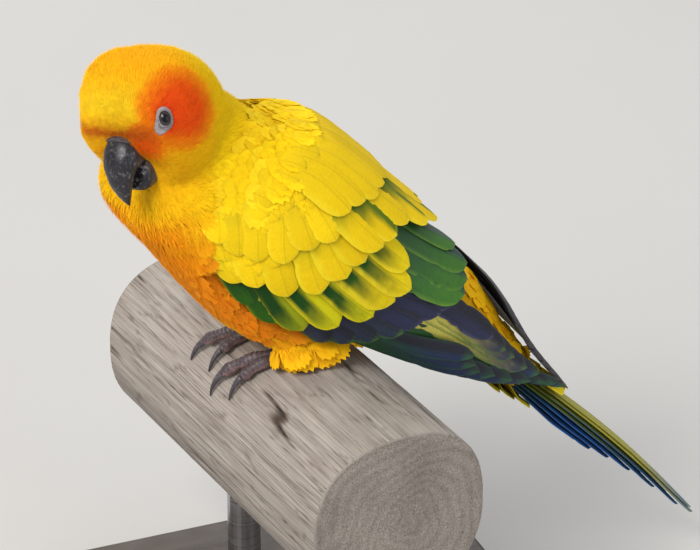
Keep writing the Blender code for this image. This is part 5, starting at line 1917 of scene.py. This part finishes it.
@dataclass(frozen=True)
class Tail:
    """Twelve graduated tail feathers and the coverts over and under their roots."""

    root: Place = (74.6, -17.6)
    pitch: float = radians(46.4)
    length: float = 91.0
    shortening: tuple[float, ...] = (0.0, 9.0, 21.0, 33.0, 43.0, 51.0)
    level: float = 1.2
    arch: float = 2.6

    def point(self, distance: Array, aside: Array, lift: Array) -> Array:
        """Points by distance along, aside and above the tail's own plane, which arches a little."""
        along = vec(cos(self.pitch), 0.0, -sin(self.pitch))
        above = vec(sin(self.pitch), 0.0, cos(self.pitch))
        bent = lift + self.arch * np.sin(pi * np.minimum(distance / (self.length + 2.0), 1.0))
        start = vec(self.root[0], 0.0, self.root[1])
        sideways = vec(0.0, 1.0, 0.0) * aside[..., None]
        return start + along * distance[..., None] + above * bent[..., None] + sideways

    def feather(self, vane: Vane, start: float, length: float, edges: Place, spread: float, lift: float,
            droop: float, dress: Dress) -> Shape:
        """One feather between two side edges.

        Args:
            vane: Its make.
            start: Distance of its root along the tail.
            length: Its length.
            edges: Its two side edges.
            spread: How far its tip moves outward.
            lift: Its height over the tail's plane.
            droop: How much lower it lies for each millimetre aside.
            dress: How it is painted.

        Returns:
            The closed feather.
        """
        u, v, share = vane.grid(length, dress.draw)
        aside = (edges[0] + edges[1]) / 2 + spread * u + (edges[1] - edges[0]) / 2 * share * v
        fan = 0.68 + 0.32 * np.minimum(1.0, 2.0 * u)
        height = lift * fan - droop * np.abs(aside) + vane.camber * (1 - v * v) + 0.1 * (np.abs(v) < 0.1)
        distance = start + length * u
        upper = self.point(distance, aside, height)
        lower = self.point(distance, aside, height - vane.thick * (1.0 - 0.5 * v * v))
        return vane.close(upper, lower, (u, v, share), length, dress)

    def build(self, finishes: Finishes) -> None:
        """Make the tail and its coverts.

        Args:
            finishes: The model's materials.
        """
        draw = np.random.default_rng(SEED + 5)
        shapes = []
        pairs = len(self.shortening)
        for pair, short in enumerate(self.shortening):
            for side in Side:
                level = 0.0 if pair == 0 and side is Side.RIGHT else 0.6 - (pair + 1) * self.level
                edges = (-4.4, 5.8) if pair == 0 else (0.3, 5.9 + 0.5 * pair)
                tone = (CENTRAL_TONE, SIDE_TONE, SIDE_TONE)[pair] if pair < 3 else OUTER_TONE
                vane = Vane(edges[1] - edges[0], (0.0, 0.0), rows=30, camber=0.35, slim_root=0.6, taper=4.5,
                    notches=3)
                made = self.feather(vane, 2.0, self.length - short, edges, 0.3 + 0.35 * pair, level, 0.12,
                    Dress(tone, 2 * pair + (side is Side.LEFT), 2 * pairs, draw))
                shapes.append(made if side is Side.RIGHT else made.mirrored())
        stand_in("tail", "vanes", "tail_feathers", Shape.joined(shapes), finishes.flight, VANE_CREASE)
        self.coverts("upper", 1.0, finishes, draw)
        self.coverts("under", -1.0, finishes, draw)

    def coverts(self, word: str, sign: float, finishes: Finishes, draw: Draw) -> None:
        """Make the soft feathers over or under the tail's root.

        Args:
            word: Which coverts.
            sign: 1 over the tail, -1 under it.
            finishes: The model's materials.
            draw: Source of the variation.
        """
        tone = Tone((0.70, 0.52, 0.006), (0.70, 0.58, 0.01), YELLOW, tip_from=0.4)
        if sign < 0:
            tone = Tone((0.62, 0.42, 0.006), (0.50, 0.47, 0.012), (0.72, 0.56, 0.01), tip_from=0.3)
        shapes, planned = [], []
        for line, (start, length) in enumerate(((-9.0, 15.0), (-4.0, 17.0),
                (1.0, 23.0 if sign > 0 else 17.0))):
            for k in range(-2, 3):
                planned.append((line, start, length - 2.2 * abs(k), k + 0.5 * (line % 2)))
        for number, (line, start, length, k) in enumerate(planned):
            vane = Vane(8.0, (0.0, 0.0), rows=14, columns=7, camber=0.7, taper=1.2, notches=1)
            lift = 3.4 - 0.5 * line if sign > 0 else -9.6 + 0.5 * line
            shapes.append(self.feather(vane, start, length, (3.1 * k - 4.0, 3.1 * k + 4.0), 0.3 * k, lift,
                0.12 * sign, Dress(tone, number, len(planned), draw)))
        stand_in(f"tail_coverts_{word}", "vanes", "plumage_yellow", Shape.joined(shapes), finishes.coverts,
            VANE_CREASE)


@dataclass(frozen=True)
class Bill:
    """Both halves of the bill, the rough cere over it and its nostrils.

    Each half has stations in the head's forward and up plane: outer edge, inner edge and half width.
    """

    upper: EasedTable = EasedTable(((0.0, 12.6, 1.8, 11.8, -8.6, 5.2), (1.0, 16.6, 0.9, 14.3, -9.0, 5.5),
        (2.0, 19.4, -1.9, 15.5, -9.6, 5.2), (3.0, 20.9, -5.8, 16.0, -10.6, 4.6),
        (4.0, 21.1, -10.1, 16.3, -12.2, 3.6), (5.0, 20.0, -14.0, 16.5, -14.3, 2.4),
        (6.0, 18.6, -16.5, 16.7, -16.1, 1.3), (7.0, 17.4, -18.1, 16.9, -17.7, 0.4),))
    lower: EasedTable = EasedTable(((0.0, 9.6, -15.0, 10.0, -5.6, 5.7), (1.0, 12.2, -15.3, 12.3, -6.2, 5.7),
        (2.0, 13.9, -14.9, 13.6, -8.4, 4.9), (3.0, 14.8, -14.2, 14.5, -11.2, 3.0),
        (4.0, 15.2, -13.8, 15.0, -12.8, 1.0),))
    cere_place: tuple[float, float, float] = (16.3, 0.0, 0.8)
    nostril: tuple[float, float, float] = (17.5, 2.3, 1.5)
    horn: Colour = (0.012, 0.011, 0.015)

    def half(self, table: EasedTable, keel: float, boxy: float, seed: int) -> Shape:
        """One half as a smooth loft with a keel, growth ridges and a chipped cutting edge.

        Args:
            table: Its stations.
            keel: Height of the rounded keel along its outer edge.
            boxy: Power of its width's rounding, with 1 an ellipse and less a box.
            seed: Shift of the noise.

        Returns:
            The closed shape.
        """
        station, turn = np.meshgrid(np.linspace(0.0, table.rows[-1][0], 64), circle(56), indexing="ij")
        outer = np.stack([table.value(station, k) for k in (1, 2)], axis=-1)
        inner = np.stack([table.value(station, k) for k in (3, 4)], axis=-1)
        wide = table.value(station, 5)
        middle, reach = (outer + inner) / 2, (outer - inner) / 2
        swell = 1.0 + keel * np.exp(-(((turn + pi) % (TURN) - pi) / 0.4) ** 2)
        place = middle + reach * (signed_power(np.cos(turn), 0.94) * swell)[..., None]
        aside = wide * signed_power(np.sin(turn), boxy)
        local = stack(place[..., 0], aside, place[..., 1])
        rough = NOISE.at(local + seed, (1.4, 1.4, 0.7)) * 0.05 + NOISE.at(local + seed, 0.5) * 0.025
        edge = np.exp(-((np.abs(turn - pi) - 0.75) / 0.34) ** 2)
        chips = ease(0.15, 0.6, NOISE.at(local * 1.3 + seed, 0.8)) * edge * 0.35
        tip = ease(table.rows[-1][0], table.rows[-1][0] - 1.5, station)
        centre = stack(middle[..., 0], np.zeros_like(aside), middle[..., 1])
        local = local + unit(local - centre) * ((rough - chips) * tip)[..., None]
        points, faces = close_rings(HEAD.point(local))
        scuff = chips * 2.4 + 0.5 * edge * ease(0.1, 0.6, NOISE.at(local, 0.6))
        scuff = scuff + 0.35 * ease(0.45, 0.8, NOISE.at(local + 40.0, (0.9, 0.9, 0.35)))
        scuff = np.append(scuff.ravel(), (0.0, 0.0))
        pale = np.append(ease(1.6, 0.2, station).ravel() * 0.16, (0.0, 0.0))
        colour = mix(self.horn, (0.26, 0.23, 0.24), np.clip(scuff + pale, 0.0, 0.8))
        return Shape(points, faces, colour)

    def cere(self) -> Shape:
        """Low rough pad over the bill's root, with a nostril sunk into each side."""
        tilt, turn = ball_angles(60, 72)
        ball = stack(np.sin(tilt) * np.cos(turn), np.cos(tilt), np.sin(tilt) * np.sin(turn))
        local = np.array(self.cere_place) + ball * vec(1.4, 4.3, 0.8)
        local = local - vec(0.0, 0.0, 1.0) * (0.045 * local[..., 1] ** 2)[..., None]
        bumps = NOISE.at(local, 0.7) * 0.12 + NOISE.at(local, 0.3) * 0.06
        for sign in (-1.0, 1.0):
            place = np.array(self.nostril) * vec(1.0, sign, 1.0)
            near = np.linalg.norm((local - place) / vec(1.0, 0.9, 0.75), axis=-1)
            bumps = bumps - 1.0 * np.exp(-(near / 0.62) ** 2) + 0.16 * np.exp(-((near - 1.1) / 0.35) ** 2)
        depth = np.append(bumps.ravel(), (0.0, 0.0))
        points, faces = close_rings(HEAD.point(local + ball * bumps[..., None]))
        # The nostril pits and the low hollows between the bumps are painted darker, as painted shade.
        colour = mix((0.085, 0.066, 0.072), (0.012, 0.01, 0.01), ease(-0.25, -0.7, depth))
        return Shape(points, faces, mix(colour, (0.04, 0.03, 0.035), ease(0.05, -0.15, depth) * 0.6))

    def build(self, finishes: Finishes) -> None:
        """Make the bill's three pieces."""
        upper, lower = self.half(self.upper, 0.03, 0.88, 3), self.half(self.lower, 0.0, 0.55, 17)
        stand_in("bill_upper", "horn", "bill_horn", upper, finishes.bill)
        stand_in("bill_lower", "horn", "bill_horn", lower, finishes.bill)
        Fitting("bill_cere", "foot_skin").make(self.cere(), finishes.bare)


@dataclass(frozen=True)
class Rail:
    """Short cut length of weathered round rail."""

    half_width: float = 27.0
    half_height: float = 26.0
    roundness: float = 2.4
    top: float = 2.0
    half_length: float = 64.0
    turn: float = radians(7.2)

    def height_at(self, x: float, y: float) -> float:
        """Height of the rail's upper surface at a place in plan."""
        share = min(abs(x - PERCH_X + tan(self.turn) * y) / self.half_width, 0.999)
        round_off = (1 - share ** self.roundness) ** (1 / self.roundness)
        return self.top - self.half_height + self.half_height * round_off

    def build(self, finishes: Finishes) -> None:
        """Make the rail with long cracks, raised grain and sawn ends.

        Args:
            finishes: The model's materials.
        """
        turn = np.linspace(-0.5 * pi, 1.5 * pi, 224, endpoint=False)
        ends = np.linspace(0.03, 0.985, 22)
        stations = [(-self.half_length, share) for share in ends]
        stations += [(place, 1.0) for place in np.linspace(-self.half_length + 0.7, self.half_length - 0.7,
            230)]
        stations += [(self.half_length, share) for share in ends[::-1]]
        place = np.array([k[0] for k in stations])[:, None] + 0.0 * turn
        share = np.array([k[1] for k in stations])[:, None] + 0.0 * turn
        wide = self.half_width * signed_power(np.cos(turn), 2 / self.roundness) * share
        high = self.half_height * signed_power(np.sin(turn), 2 / self.roundness) * share
        spot = stack(wide, place, high)
        body = share == 1.0
        drift = NOISE.at(spot, (9.0, 60.0, 9.0))
        crack = np.abs(NOISE.at(spot + 3.0, (5.5, 75.0, 5.5)) + 0.12 * drift)
        open_here = ease(-0.1, 0.35, NOISE.at(spot + 31.0, (14.0, 34.0, 14.0)))
        split = ease(0.085, 0.0, crack) * open_here
        fine = np.abs(NOISE.at(spot + 17.0, (1.7, 26.0, 1.7)))
        hair = ease(0.12, 0.0, fine) * 0.55
        grain = 0.5 + 0.5 * NOISE.at(spot + 7.0, (0.9, 12.0, 0.9))
        rings = 0.5 + 0.5 * np.sin(np.hypot(wide + 3.0, high - 2.0) * 3.3 + 2.0 * NOISE.at(spot, 6.0))
        depth = np.where(body, 0.9 * split + 0.22 * hair + 0.14 * grain, 0.05 * rings)
        centre = vec(PERCH_X, 0.0, self.top - self.half_height)
        across = vec(cos(self.turn), sin(self.turn), 0.0)
        along = vec(-sin(self.turn), cos(self.turn), 0.0)
        inward = -unit(stack(wide, np.zeros_like(wide), high)) * np.where(body, depth, 0.0)[..., None]
        inward[..., 1] = np.where(body, 0.0, -np.sign(place) * depth)
        spot = spot + inward
        world = centre + spot[..., :1] * across + spot[..., 1:2] * along + spot[..., 2:] * vec(0.0, 0.0, 1.0)
        points, faces = close_rings(world)
        # The long cracks and hair cracks are painted darker, as painted shade in them; the grain and the sawn
        # ends' rings are the wood's own tone.
        bright = np.where(body, 1.0 - 0.72 * split - 0.38 * hair - 0.16 * grain, 0.76 + 0.12 * rings)
        bright = np.append(bright.ravel(), (0.6, 0.6))
        tint = mix((0.55, 0.42, 0.33), (1.0, 1.0, 1.0), ease(0.2, 1.0, bright)) * bright[:, None]
        around = np.where(body, turn * self.half_width, wide * 1.2)
        flat = stack(around, np.where(body, place, high * 50.0)).reshape(-1, 2)
        vane = np.concatenate((flat, np.zeros((2, 2))))
        shape = Shape(points, flip(faces), tint, vane)
        Fitting("weathered_rail", "rail_wood", ("perch_rail",)).make(shape, finishes.rail, RAIL_CREASE)


RAIL = Rail()
TOE_GAP = 0.45
SCALE_DARK: Colour = (0.085, 0.062, 0.072)
SCALE_PALE: Colour = (0.27, 0.21, 0.22)
PAD_PINK: Colour = (0.30, 0.18, 0.17)


@dataclass(frozen=True)
class Foot:
    """One foot with its toes and claws on the rail: toes as direction from -X, length and radius."""

    side: Side
    place: Place
    toes: tuple[tuple[float, float, float], ...]
    shank_radius: float = 2.2
    claw_length: float = 7.0
    steps: int = 42

    def route(self, direction: float, length: float, radius: float) -> Array:
        """Middle line of a toe that lies on the rail.

        Args:
            direction: Heading in degrees from -X.
            length: Length along the rail's surface.
            radius: The toe's radius.

        Returns:
            Points of the line.
        """
        heading = radians(direction)
        ahead = vec(cos(heading), sin(heading))
        place, line = np.array(self.place), []
        for _ in range(self.steps + 1):
            front, back = (RAIL.height_at(*(place - ahead * k)) for k in (0.5, -0.5))
            slope = front - back
            run = 1.0 / hypot(1.0, slope)
            lean = vec(ahead[0] * slope * run, ahead[1] * slope * run, run)
            ground = vec(place[0], place[1], RAIL.height_at(*place))
            line.append(ground + lean * (radius * 1.12 + TOE_GAP))
            place = place - ahead * (length / self.steps) * run
        return np.array(line)

    @staticmethod
    def limb(line: Array, radii: Array, plates: float, pads: float) -> Shape:
        """Tube round a line, with plates on its upper side and soft pads beneath.

        Args:
            line: Its middle.
            radii: Its radius at each point.
            plates: Length of one plate.
            pads: Length of one pad.

        Returns:
            The closed, painted tube.
        """
        turn, spoke = spokes(line, 28)
        run = np.append(0.0, np.cumsum(np.linalg.norm(np.diff(line, axis=0), axis=1)))[:, None]
        above = ease(-0.25, 0.35, spoke[..., 2])
        phase = (run / plates + 0.12 * np.cos(turn * 2)) % 1.0
        plate = (0.10 - 0.16 * phase) * above
        seam = np.maximum(ease(0.82, 1.0, phase), ease(0.14, 0.0, phase)) * above
        pad = 0.14 * np.abs(np.sin(run / pads * pi)) * (1.0 - above)
        pebble = NOISE.at(line[:, None] + spoke * 2.0, 0.55) * 0.05
        reach = radii[:, None] * (1.0 + plate + pad - 0.06 * seam) + pebble
        points, faces = close_rings(line[:, None] + spoke * reach[..., None])
        colour = mix(SCALE_DARK, SCALE_PALE, np.clip(seam * 0.75 + pebble * 3.0, 0.0, 1.0))
        colour = mix(colour, PAD_PINK, (1.0 - above) * 0.75).reshape(-1, 3)
        return Shape(points, flip(faces), np.concatenate((colour, colour[:1], colour[-1:])))

    def claw(self, line: Array, radius: float) -> Shape:
        """Curved claw that grows from a toe's end."""
        ahead = unit(line[-1] - line[-2])
        start, stations = line[-1] + ahead * 0.1, []
        for k in range(5):
            bend = radians(-8.0 + 21.0 * k)
            if k:
                step = ahead * cos(bend) + vec(0.0, 0.0, -1.0) * sin(bend)
                start = start + step * self.claw_length / 4
            floor = RAIL.height_at(start[0], start[1]) + 1.7 - 0.2 * k
            stations.append((float(k), start[0], start[1], max(start[2], floor), radius * 0.6
                * (1 - 0.21 * k)))
        table = EasedTable(tuple(stations))
        place = np.linspace(0.0, 4.0, 26)
        centres = np.stack([table.value(place, k) for k in (1, 2, 3)], axis=-1)
        radii = table.value(place, 4)
        turn, spoke = spokes(centres, 18)
        points, faces = close_rings(centres[:, None] + spoke * radii[:, None, None])
        shade = np.append(np.repeat(place / 4.0, len(turn)), (0.0, 1.0))
        colour = mix((0.075, 0.065, 0.075), (0.022, 0.02, 0.026), shade)
        return Shape(points, flip(faces), colour)

    def build(self, finishes: Finishes) -> None:
        """Make the scaled foot and its claws.

        Args:
            finishes: The model's materials.
        """
        ground = RAIL.height_at(*self.place)
        ball = vec(*self.place, ground + 2.9)
        heel = vec(self.place[0] + 8.0, self.place[1] + self.side.value * 2.0, ground + 5.6)
        shank = ball + (heel - ball) * np.linspace(-0.15, 1.3, 24)[:, None]
        shapes = [self.limb(shank, np.full(24, self.shank_radius * 0.98), 1.5, 3.0)]
        for number, (direction, length, radius) in enumerate(self.toes):
            line = self.route(direction, length, radius)
            k = np.linspace(0.0, 6.0, self.steps + 1)
            radii = radius * (1.0 + 0.12 * np.cos(2.3 * k)) * (1 - 0.02 * k)
            radii = radii - radius * 0.30 * ease(5.2, 6.0, k)
            shapes.append(self.limb(line, radii * 0.97, 1.25, 3.2))
            stand_in(f"claw_{self.side.word}_{number + 1}", "horn", "claw_horn", self.claw(line, radius),
                finishes.claw)
        stand_in(f"foot_{self.side.word}", "scaled", "foot_skin", Shape.joined(shapes), finishes.scales)


@dataclass(frozen=True)
class Stand:
    """Base board and rods, which keep their solids and get their finish."""

    def build(self, finishes: Finishes) -> None:
        """Dress the stand's solids.

        Args:
            finishes: The model's materials.
        """
        for name, node in frame["nodes"].items():
            if not name.startswith("stand_"):
                continue
            finish = finishes.steel if "rod" in name else finishes.board
            node.data.materials.clear()
            node.data.materials.append(finish)
            LOG.info("%s keeps its solid", name)


@dataclass(frozen=True)
class Studio:
    """Plain pale floor, soft light from the viewer's upper left, and the camera."""

    camera_place: tuple[float, float, float] = (-0.34494, -0.89997, 0.63334)
    camera_aim: tuple[float, float, float] = (0.01889, 0.00055, 0.11692)
    lens: float = 198.0
    floor_reach: float = 6.0
    sky: float = 0.55

    def light(self, name: str, place: Sequence[float], power: float, size: float, colour: Colour) -> None:
        """Soft lamp that looks at the bird.

        Args:
            name: Lamp's name.
            place: Where it stands.
            power: Its power in watts.
            size: Its width.
            colour: Its colour.
        """
        lamp = bpy.data.lights.new(name, "AREA")
        lamp.energy = power
        lamp.size = size
        lamp.color = colour
        item = new_object(name, lamp)
        item.location = place
        item.rotation_euler = (Vector(self.camera_aim) - Vector(place)).to_track_quat("-Z", "Y").to_euler()

    def build(self, finishes: Finishes) -> None:
        """Set up floor, lights, sky and camera.

        Args:
            finishes: The model's materials.
        """
        reach = self.floor_reach
        mesh = bpy.data.meshes.new("studio_floor")
        mesh.from_pydata([(-reach, -reach, 0.0), (reach, -reach, 0.0), (reach, reach, 0.0),
            (-reach, reach, 0.0)], [], [(0, 1, 2, 3)])
        mesh.materials.append(finishes.floor)
        new_object("studio_floor", mesh)
        self.light("key", (-0.85, -0.45, 1.05), 14.0, 0.55, (1.0, 0.97, 0.93))
        self.light("fill", (0.55, -1.05, 0.55), 3.2, 0.9, (0.93, 0.96, 1.0))
        self.light("back", (0.35, 0.95, 0.95), 5.0, 0.7, (1.0, 0.98, 0.95))
        world = bpy.data.worlds.new("soft_sky")
        world.use_nodes = True
        sky = world.node_tree.nodes["Background"]
        sky.inputs["Color"].default_value = (0.95, 0.97, 1.0, 1.0)
        sky.inputs["Strength"].default_value = self.sky
        scene = bpy.context.scene
        scene.world = world
        scene.view_settings.view_transform = "Standard"
        lens = bpy.data.cameras.new("photo_camera")
        lens.lens = self.lens
        lens.sensor_width = 36.0
        camera = new_object("photo_camera", lens)
        camera.location = self.camera_place
        aim = Vector(self.camera_aim) - Vector(self.camera_place)
        camera.rotation_euler = aim.to_track_quat("-Z", "Y").to_euler()
        scene.camera = camera


def wing_layers() -> tuple[CoatLayer, ...]:
    """Soft feathers and silky barbs over mantle and small coverts."""
    plumes = (ContourFeather(0.34, 0.014, 0.02, 0.02), ContourFeather(0.38, 0.014, 0.03, 0.015),
        ContourFeather(0.30, 0.014, 0.015, 0.025))
    silk = (Lock(8, 0.035, 12.0, 0.30, 0.05, (0.0, 0.5)), Lock(7, 0.04, 16.0, 0.26, 0.06, (0.0, 0.5)))
    # The plumes' last number is how much darker their roots are painted, as painted shade.
    return (CoatLayer("mantle_plumes", "plumage_yellow", 2.4, 0.06, 0.10, plumes, wing_cover,
        lambda points: 8.6 + 1.0 * NOISE.at(points, 8.0), 0.35, SEED + 9, False, wing_tint, 0.16),
        CoatLayer("mantle_silk", "plumage_yellow", 1.35, 0.07, 0.14, silk, wing_cover, plain_length(7.0),
        0.35, SEED + 10, True, wing_tint),)


def coat_layers() -> tuple[CoatLayer, ...]:
    """The coat's layers, from the face to the fluff over the feet."""
    short = (Lock(6, 0.085, 20.0), Lock(6, 0.10, 26.0, 0.36), Lock(5, 0.11, 16.0, 0.26))
    long = (Lock(7, 0.055, 22.0, 0.28, 0.06, (0.0, 0.5)), Lock(6, 0.065, 16.0, 0.24, 0.06, (0.0, 0.5)))
    soft = (ContourFeather(droop=0.03), ContourFeather(half=0.38, droop=0.04),
        ContourFeather(half=0.46, rise=0.04))
    return (CoatLayer("face_down", "plumage_orange", 0.62, 0.10, 0.22, short, face_cover, face_reach, 0.10),
        CoatLayer("face_down_over", "plumage_orange", 0.62, 0.22, 0.34, short, face_cover, face_reach, 0.10,
        SEED + 7), CoatLayer("neck_down", "plumage_orange", 1.1, 0.12, 0.24, long, nape_cover,
        plain_length(4.6), 0.12, SEED + 1), CoatLayer("body_feathers", "plumage_orange", 1.6, 0.02, 0.16,
        soft, contour_cover, body_reach, 0.15, SEED + 2, False), CoatLayer("body_down", "plumage_orange",
        1.35, 0.10, 0.24, long, body_cover, plain_length(4.8), 0.20, SEED + 8),
        CoatLayer("rump_feathers", "plumage_yellow", 1.7, 0.04, 0.14, soft, rump_cover, plain_length(8.5),
        0.2, SEED + 3, False), CoatLayer("thigh_fluff", "plumage_yellow", 1.1, 0.18, 0.40, long, fluff_cover,
        plain_length(5.5), 0.25, SEED + 4),)


def main() -> None:
    """Build every sub-assembly in order."""
    logging.basicConfig(level=logging.INFO, format="%(name)s %(message)s")
    finishes = Finishes()
    Studio().build(finishes)
    skin = BodySkin().build(finishes)
    tree = coat_tree()
    for layer in coat_layers():
        layer.build(skin.data, tree, finishes)
    ground = wing_ground()
    for layer in wing_layers():
        layer.build(ground, tree, finishes)
    bpy.data.meshes.remove(ground)
    windows = VaneRow(Vane(9.6, (-7.4, -1.6), rise=0.8, easing=2.6, rows=26, taper=2.4, notches=3), 5,
        ((-22.0, 100.0), (-18.0, 68.0)), ((62.0, 75.0), (53.0, 73.0), (45.0, 71.0), (36.0, 70.0)),
        (PRIMARY_TONE, WINDOW_TONE, WINDOW_TONE, WINDOW_TONE, SLATE_TONE))
    long = Vane(10.0, (-8.4, -1.0), rise=0.7, bow=7.0, easing=3.2, rows=28, slim_root=0.4, taper=2.6,
        notches=3)
    FoldedWing(Side.LEFT, ((73.0, 72.0), (65.0, 88.0), (54.0, 96.0), (42.0, 98.0), (35.0, 90.0)), long,
        (PRIMARY_TONE,), (windows,)).build(finishes)
    high = Vane(10.0, (-8.4, -2.4), rise=0.7, bow=2.0, easing=0.7, rows=28, slim_root=0.4, taper=2.6,
        notches=3)
    FoldedWing(Side.RIGHT, ((79.0, -22.0), (71.0, -28.0), (62.0, -30.0), (54.0, -26.0), (46.0, -14.0)), high,
        (DUSKY_TONE, DUSKY_TONE, DUSKY_TONE)).build(finishes)
    Mantle().build(finishes)
    Tail().build(finishes)
    Bill().build(finishes)
    for side in Side:
        RING.build(side, finishes)
        Eye().build(side, finishes)
    Foot(Side.LEFT, (0.5, -10.5), ((-26.0, 17.0, 1.9), (-2.0, 12.0, 1.7), (168.0, 15.0, 1.8),
        (205.0, 11.0, 1.6))).build(finishes)
    Foot(Side.RIGHT, (0.0, 6.5), ((-24.0, 15.5, 1.9), (6.0, 12.0, 1.7), (160.0, 15.0, 1.8),
        (197.0, 11.0, 1.6))).build(finishes)
    RAIL.build(finishes)
    Stand().build(finishes)


if __name__ == "__main__":
    main()
